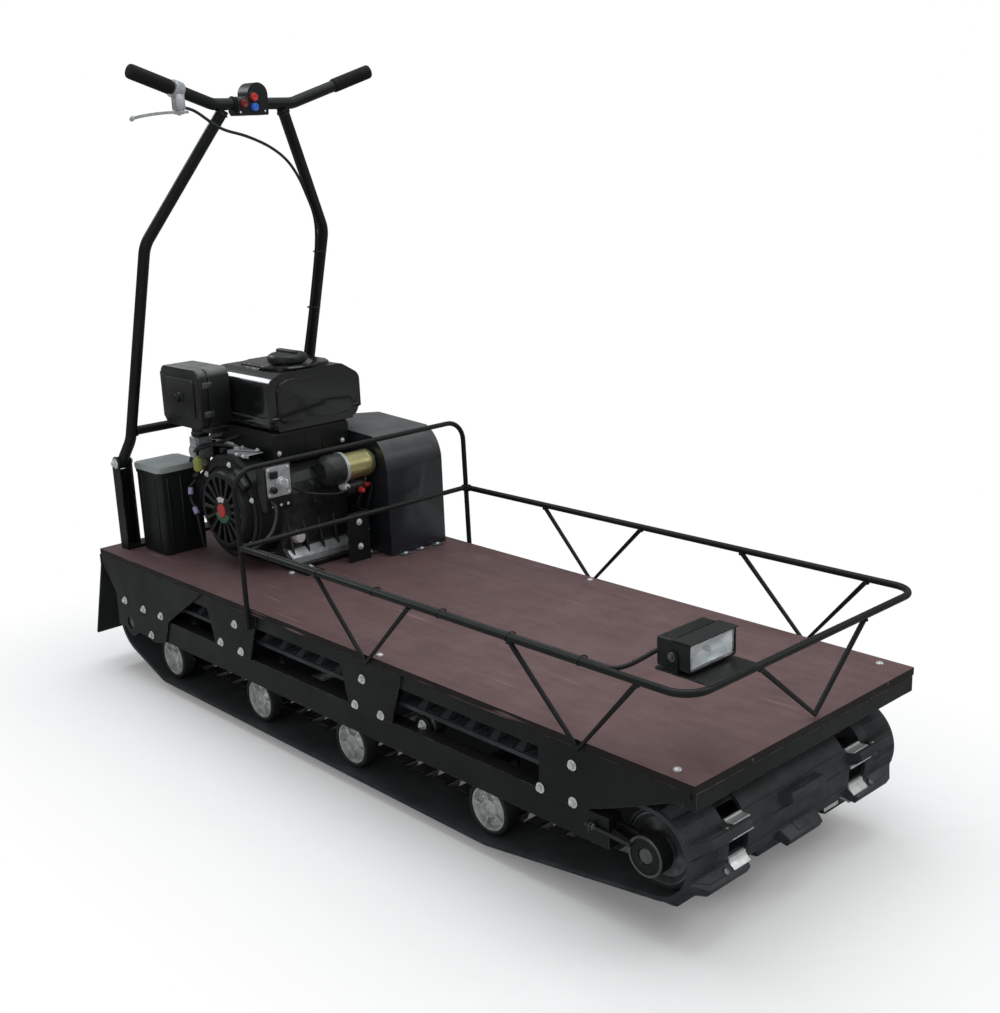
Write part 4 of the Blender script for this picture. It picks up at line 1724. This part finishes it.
def build_case_details():
    """Bolts, plugs and ribs of the crankcase, and the bolts of its base."""
    low = BASE_TOP + 0.0003
    bolts = []
    rim = ((0.275, low + 0.03), (0.34, low + 0.026), (0.405, low + 0.034), (0.412, CRANK_Z),
           (0.398, CRANK_Z + 0.044), (0.345, CRANK_Z + 0.05), (0.292, CRANK_Z + 0.044))
    bolts += [((x, ENGINE_LEFT + 0.006, z), LEFT, 0.0042) for x, z in rim]
    bolts += [((x, y, low + 0.014), UP, 0.0058) for y in (-0.07, 0.055) for x in (0.243, 0.437)]
    bolts += [((x, y, BASE_TOP), UP, 0.0055) for x in (0.225, 0.488) for y in (-0.07, 0.055)]
    bolts += [((0.5, 0.045, DECK_TOP + rise), FORWARD, 0.0045) for rise in (0.03, 0.08)]
    copies("case_screws", ZINC, BOLT, bolts)
    front = 0.4285
    filler = turned([(0.0135, -0.004), (0.0135, 0.004), (0.011, 0.006), (0.011, 0.014), (0.009, 0.016)],
                    (-0.056, low + 0.05), "X", 24, start=front)
    drain = turned([(0.0085, 0.008), (0.0085, 0.02)], (-0.01, low + 0.012), "X", 6, start=front)
    piece(filler, "oil_filler", BOOT)
    piece(drain, "oil_drain", ZINC)
    ribs = []
    for y in (-0.076, -0.04, -0.004, 0.032):
        rib = [(0.427, low + 0.03), (0.4445, low + 0.0145), (0.43, CRANK_Z - 0.03), (0.426, CRANK_Z - 0.02)]
        ribs.append(prism(rib, "Y", y, y + 0.004, 0.0008, 1))
    flange = [(0.355, CRANK_Z + 0.077), (0.402, CRANK_Z + 0.064), (0.433, CRANK_Z + 0.036),
              (0.4355, CRANK_Z + 0.002), (0.431, CRANK_Z + 0.002), (0.429, CRANK_Z + 0.034),
              (0.399, CRANK_Z + 0.0605), (0.354, CRANK_Z + 0.0735)]
    ribs.append(prism(flange, "Y", -0.014, -0.002, 0.0008, 1))
    piece(joined(*ribs), "case_ribs", CAST)
    foot = prism([(0.392, low + 0.0002), (0.4495, low + 0.0002), (0.4495, low + 0.013), (0.432, low + 0.027),
                  (0.392, low + 0.027)], "Y", -0.083, 0.062, 0.0022, 2)
    piece(foot, "case_foot", BRIGHT_CAST)


def build_starter():
    x, z = STARTER
    motor = turned([(0.0258, 0.0303), (0.0265, 0.0312), (0.0265, 0.0815), (0.0272, 0.082),
                    (0.0272, 0.0845), (0.0265, 0.085), (0.0265, 0.0925), (0.0245, 0.0955), (0.012, 0.096),
                    (0.011, 0.0985)], (x, z), "Y", 44)
    sole_x, sole_z = x - 0.004, z - 0.044
    solenoid = turned([(0.0172, 0.0303), (0.018, 0.0312), (0.018, 0.069), (0.0168, 0.0705)],
                      (sole_x, sole_z), "Y", 32)
    piece(motor, "starter_body", YELLOW_ZINC, "starter_motor")
    piece(solenoid, "solenoid_body", SATIN)
    cap = turned([(0.016, 0.0703), (0.016, 0.0745), (0.014, 0.077)], (sole_x, sole_z), "Y", 28)
    strap = block((x - 0.012, 0.04, z - 0.036), (x + 0.01, 0.054, z - 0.016), 0.002, 2)
    piece(joined(cap, strap), "solenoid_cap", SATIN)
    nose = turned([(0.0195, -0.0215), (0.0225, -0.019), (0.0305, -0.008), (0.031, -0.006), (0.031, 0.029),
                   (0.03, 0.0301)], (x, z), "Y", 36)
    piece(nose, "starter_nose", CAST)
    collar = turned([(0.0306, 0.0215), (0.0318, 0.0222), (0.0318, 0.0288), (0.0306, 0.0295)],
                    (x, z), "Y", 36, ring=True)
    piece(collar, "starter_collar", BRIGHT_CAST)
    bolts = [((x + 0.0195 * math.cos(t), 0.0955, z + 0.0195 * math.sin(t)), LEFT, 0.003)
             for t in (0.6, 0.6 + math.pi)]
    bolts += [((x + 0.024 * math.cos(t), -0.0085, z + 0.024 * math.sin(t)), RIGHT, 0.0036)
              for t in (1.1, 2.9, 4.9)]
    copies("starter_bolts", ZINC, BOLT, bolts)
    boots = []
    for offset, look, name in ((-0.007, BOOT, "white"), (0.008, RED, "red")):
        boot = turned([(0.0056, 0.0765), (0.0062, 0.079), (0.005, 0.088), (0.0036, 0.093)],
                      (sole_x + offset, sole_z), "Y", 20)
        piece(boot, f"starter_boot_{name}", look)
        boots.append((sole_x + offset, 0.0925, sole_z))
    ahead = turned([(0.0078, 0.006), (0.0084, 0.009), (0.0066, 0.025), (0, 0.027)],
                   (0.022, sole_z + 0.01), "X", 20, start=x)
    piece(ahead, "boot_front", BOOT)
    side = turned([(0.0056, 0.018), (0.006, 0.0205), (0.0044, 0.0285), (0, 0.0295)],
                  (0.058, sole_z - 0.003), "X", 20, start=x)
    piece(side, "boot_front_red", RED)
    power = [boots[1], (0.482, 0.0955, 0.41), (0.47, 0.088, 0.36), (0.466, 0.079, 0.32),
             (0.452, 0.078, 0.296)]
    earth = [boots[0], (0.462, 0.0955, 0.414), (0.452, 0.084, 0.38), (0.448, 0.079, 0.34), (0.44, 0.076, 0.3)]
    signal = [(x + 0.0265, 0.022, sole_z + 0.01), (x + 0.034, 0.018, sole_z + 0.008),
              (x + 0.022, -0.006, z - 0.042), (0.47, -0.05, z - 0.036),
              (0.465, -0.076, 0.442), (0.46, -0.08, 0.445)]
    hoses("starter_cables", [power, earth], 0.0036)
    hoses("signal_wire", [signal], 0.0022, 10)


def build_panel():
    """Rocker switch, gauge and clips on the engine's control panel, and the key."""
    front = PANEL_FRONT
    key_y, z = KEY_AT
    bezel = turned([(0.0072, -0.0003), (0.0105, -0.0003), (0.0105, 0.0014), (0.009, 0.0024), (0.0072, 0.002)],
                   KEY_AT, "X", 30, ring=True, start=front)
    piece(bezel, "key_bezel", ZINC)
    barrel = turned([(0.0068, 0), (0.0068, 0.005), (0.0058, 0.006)], KEY_AT, "X", 28, start=front)
    blade = prism(rounded([(front + 0.004, z - 0.004), (front + 0.012, z - 0.0085),
                           (front + 0.024, z - 0.0085), (front + 0.024, z + 0.0085),
                           (front + 0.012, z + 0.0085), (front + 0.004, z + 0.004)], 0.004, 5), "Y",
                  key_y - 0.0014, key_y + 0.0014, 0.0005, 1)
    piece(joined(barrel, blade), "key_blade", ZINC, "ignition_key", body="start_key")
    plate = prism(rectangle((-0.137, 0.433), (-0.083, 0.492), 0.005, 4), "X", front + 0.0002,
                  front + 0.0014, 0.0004, 1)
    piece(plate, "panel_plate", BRIGHT_CAST)
    rocker = block((front + 0.0012, -0.13, z + 0.01), (front + 0.0075, -0.114, z + 0.024), 0.0016, 2)
    knob = turned([(0.0066, 0.0012), (0.0066, 0.009), (0.005, 0.0105)],
                  (-0.125, z - 0.012), "X", 24, start=front)
    piece(joined(rocker, knob), "panel_switches", PLASTIC)
    screws = [((front + 0.0014, y, h), FORWARD, 0.0028) for y in (-0.132, -0.088) for h in (0.438, 0.487)]
    screws += [((front, y, 0.415), FORWARD, 0.003) for y in (-0.126, -0.108, -0.092)]
    copies("panel_screws", ZINC, DOME, screws)


# Boxes on the deck

BATTERY_HIGH = DECK_TOP + 0.1853
COVER_RIGHT = 0.101
COVER_LEFT = 0.242


def battery_outline(grow):
    """Plan of the battery box, grown all round."""
    return rectangle((0.067 - grow, -0.198 - grow), (0.165 + grow, -0.102 + grow), 0.008, 5)


def build_boxes():
    base = DECK_TOP + 0.0003
    high = BATTERY_HIGH
    body = prism(battery_outline(0.0), "Z", base, high - 0.0115, 0.003, 3)
    lid = prism(battery_outline(0.003), "Z", high - 0.012, high, 0.0035, 4)
    ledge = prism(battery_outline(0.0015), "Z", high - 0.02, high - 0.0125, 0.001, 2)
    ribs = []
    for y in (-0.18, -0.15, -0.12):
        ribs.append(block((0.1645, y - 0.003, base + 0.012), (0.1668, y + 0.003, high - 0.024), 0.0009, 1))
    for x in (0.09, 0.142):
        ribs.append(block((x - 0.003, -0.1998, base + 0.012), (x + 0.003, -0.1975, high - 0.024), 0.0009, 1))
    piece(joined(body, ledge, *ribs), "battery_shell", BOX_PLASTIC, "battery_box", angle=40.0)
    piece(lid, "battery_lid", LID_PLASTIC, angle=40.0)
    lead = [(0.15, -0.101, high - 0.01), (0.158, -0.092, high - 0.012), (0.176, -0.08, 0.4),
            (0.196, -0.07, 0.33), (0.222, -0.06, 0.3), (0.236, -0.05, 0.3)]
    hoses("battery_leads", [lead], 0.0036)
    build_cover_skin()
    tabs = []
    places = []
    for x in (0.13, 0.3, 0.47):
        for y, out in ((COVER_RIGHT, -1), (COVER_LEFT, 1)):
            low, far = sorted((y + out * 0.0002, y + out * 0.016))
            tabs.append(block((x - 0.014, low, base), (x + 0.014, far, base + 0.0022), 0.0007, 1))
            places.append(((x, y + out * 0.009, base + 0.0022), UP, 0.0044))
    for y in (0.13, 0.172, 0.214):
        tabs.append(block((0.5272, y - 0.012, base), (0.542, y + 0.012, base + 0.0022), 0.0007, 1))
        places.append(((0.535, y, base + 0.0022), UP, 0.0044))
    piece(joined(*tabs), "cover_tabs", SLATE)
    for z in (DECK_TOP + 0.045, DECK_TOP + 0.15):
        places += [((x, COVER_RIGHT, z), RIGHT, 0.004) for x in (0.11, 0.455)]
    copies("cover_screws", ZINC, DOME, places)


def build_cover_skin():
    """Smooth pressed skin over the faceted top and front of the variator cover."""
    front_bend, front_radius = (0.455, DECK_TOP + 0.175), 0.072
    rear_bend, rear_radius = (0.111, DECK_TOP + 0.168), 0.045
    foot = DECK_TOP + 0.0008

    def path(grow):
        return [(front_bend[0] + front_radius + grow, foot), *arc(front_bend, front_radius + grow, 0, 65, 26),
                (0.33, DECK_TOP + 0.248 + grow), *arc(rear_bend, rear_radius + grow, 90, 90, 18),
                (rear_bend[0] - rear_radius - grow, foot)]

    skin = prism(path(0.0014) + path(0.0003)[::-1], "Y", COVER_RIGHT - 0.0006, COVER_LEFT + 0.0008, 0.0004, 2)
    piece(skin, "cover_skin", SLATE, angle=48.0)


# Camera, floor and light

CAMERA_ANGLES = (137.336, -15.399, -2.291)     # heading, dip and roll, in degrees
CAMERA_PLACE = (2.5763, -1.4877, 1.0802)
CAMERA_LENS = 47.85          # on a sensor 36 wide, in millimetres


def build_camera():
    turn, dip, roll = map(math.radians, CAMERA_ANGLES)
    ahead = Vector((math.cos(turn) * math.cos(dip), math.sin(turn) * math.cos(dip), math.sin(dip)))
    right = Vector((math.sin(turn), -math.cos(turn), 0.0))
    up = right.cross(ahead)
    across = right * math.cos(roll) + up * math.sin(roll)
    above = up * math.cos(roll) - right * math.sin(roll)
    camera = bpy.data.cameras.new("camera")
    camera.lens = CAMERA_LENS
    camera.sensor_width = 36.0
    camera.clip_end = 200.0
    placed = Matrix((across, above, -ahead)).transposed().to_4x4()
    placed.translation = Vector(CAMERA_PLACE) + SHIFT
    item = linked("camera", camera)
    item.matrix_world = placed
    bpy.context.scene.camera = item


def seen_white(tree):
    """1 for rays that show the background: from the camera and through glass."""
    path = node(tree, "ShaderNodeLightPath").outputs
    return maths(tree, "MAXIMUM", path["Is Camera Ray"], path["Is Transmission Ray"])


def build_floor():
    shape = bmesh.new()
    bmesh.ops.create_grid(shape, x_segments=4, y_segments=4, size=40.0)
    floor = to_object(shape, "floor", ZINC)
    floor.location.z = -0.0004
    look, tree, shader = new_look("floor_white")
    path = node(tree, "ShaderNodeLightPath").outputs
    grain = spread(tree, noise(tree, object_place(tree), 30.0), 0.3, 0.7, 0.94, 0.97)
    grain = maths(tree, "MULTIPLY", grain, mix_value(tree, path["Is Glossy Ray"], 1.0, 0.42))
    tree.links.new(node(tree, "ShaderNodeCombineColor", {0: grain, 1: grain, 2: grain}).outputs[0],
                   shader.inputs["Base Color"])
    shader.inputs["Roughness"].default_value = 0.9
    shader.inputs["Specular IOR Level"].default_value = 0.0
    glow = node(tree, "ShaderNodeEmission", {"Color": (1.0, 1.0, 1.0, 1.0), "Strength": 1.0})
    place = node(tree, "ShaderNodeSeparateXYZ", {0: object_place(tree)}).outputs
    beyond = [maths(tree, "MAXIMUM", maths(tree, "SUBTRACT", maths(tree, "ABSOLUTE", place[axis]), reach),
                    0.0) for axis, reach in (("X", DECK_LENGTH / 2 - 0.06), ("Y", DECK_HALF - 0.06))]
    away = maths(tree, "SQRT", maths(tree, "ADD", *[maths(tree, "MULTIPLY", side, side) for side in beyond]))
    share = maths(tree, "MULTIPLY", spread(tree, away, 0.0, 0.55, 0.1, 1.0), seen_white(tree))
    mixed = node(tree, "ShaderNodeMixShader", {0: share, 1: shader.outputs[0], 2: glow.outputs[0]})
    tree.links.new(mixed.outputs[0], tree.nodes["Material Output"].inputs[0])
    floor.data.materials[0] = look


def area_light(name, place, aim, size, power, colour=(1.0, 1.0, 1.0)):
    light = bpy.data.lights.new(name, "AREA")
    light.shape = "RECTANGLE"
    light.size, light.size_y = size
    light.energy = power
    light.color = colour
    item = linked(name, light)
    item.location = place
    item.rotation_euler = (Vector(aim) - Vector(place)).to_track_quat("-Z", "Y").to_euler()


def build_light():
    world = bpy.data.worlds.new("studio")
    world.use_nodes = True
    tree = world.node_tree
    background = tree.nodes["Background"]
    background.inputs["Color"].default_value = (1.0, 1.0, 1.0, 1.0)
    path = node(tree, "ShaderNodeLightPath").outputs
    strength = mix_value(tree, path["Is Glossy Ray"], 0.42, 0.2)
    tree.links.new(mix_value(tree, seen_white(tree), strength, 1.0), background.inputs["Strength"])
    bpy.context.scene.world = world
    cool = (0.9, 0.96, 1.0)
    area_light("overhead", (0.1, 0.2, 3.2), (0.1, 0.0, 0.2), (3.2, 2.4), 50.0, cool)
    area_light("key", (2.6, 1.6, 2.6), (0.0, 0.0, 0.3), (1.6, 1.2), 20.0)
    area_light("fill", (1.2, -3.2, 1.5), (0.0, 0.0, 0.4), (2.0, 1.4), 9.0)
    area_light("glint", (-2.7, -0.45, 2.1), (-0.4, 0.0, 0.6), (1.6, 0.35), 16.0, cool)


bpy.context.scene.view_settings.view_transform = "Standard"
build_camera()
build_light()
build_floor()
dress_nodes()
build_track()
build_chain()
build_wheels()
build_bed()
build_headlight()
build_bolts()
build_handlebar()
build_cables()
build_engine()
build_boxes()
for item in MASTERS:
    bpy.data.objects.remove(item)
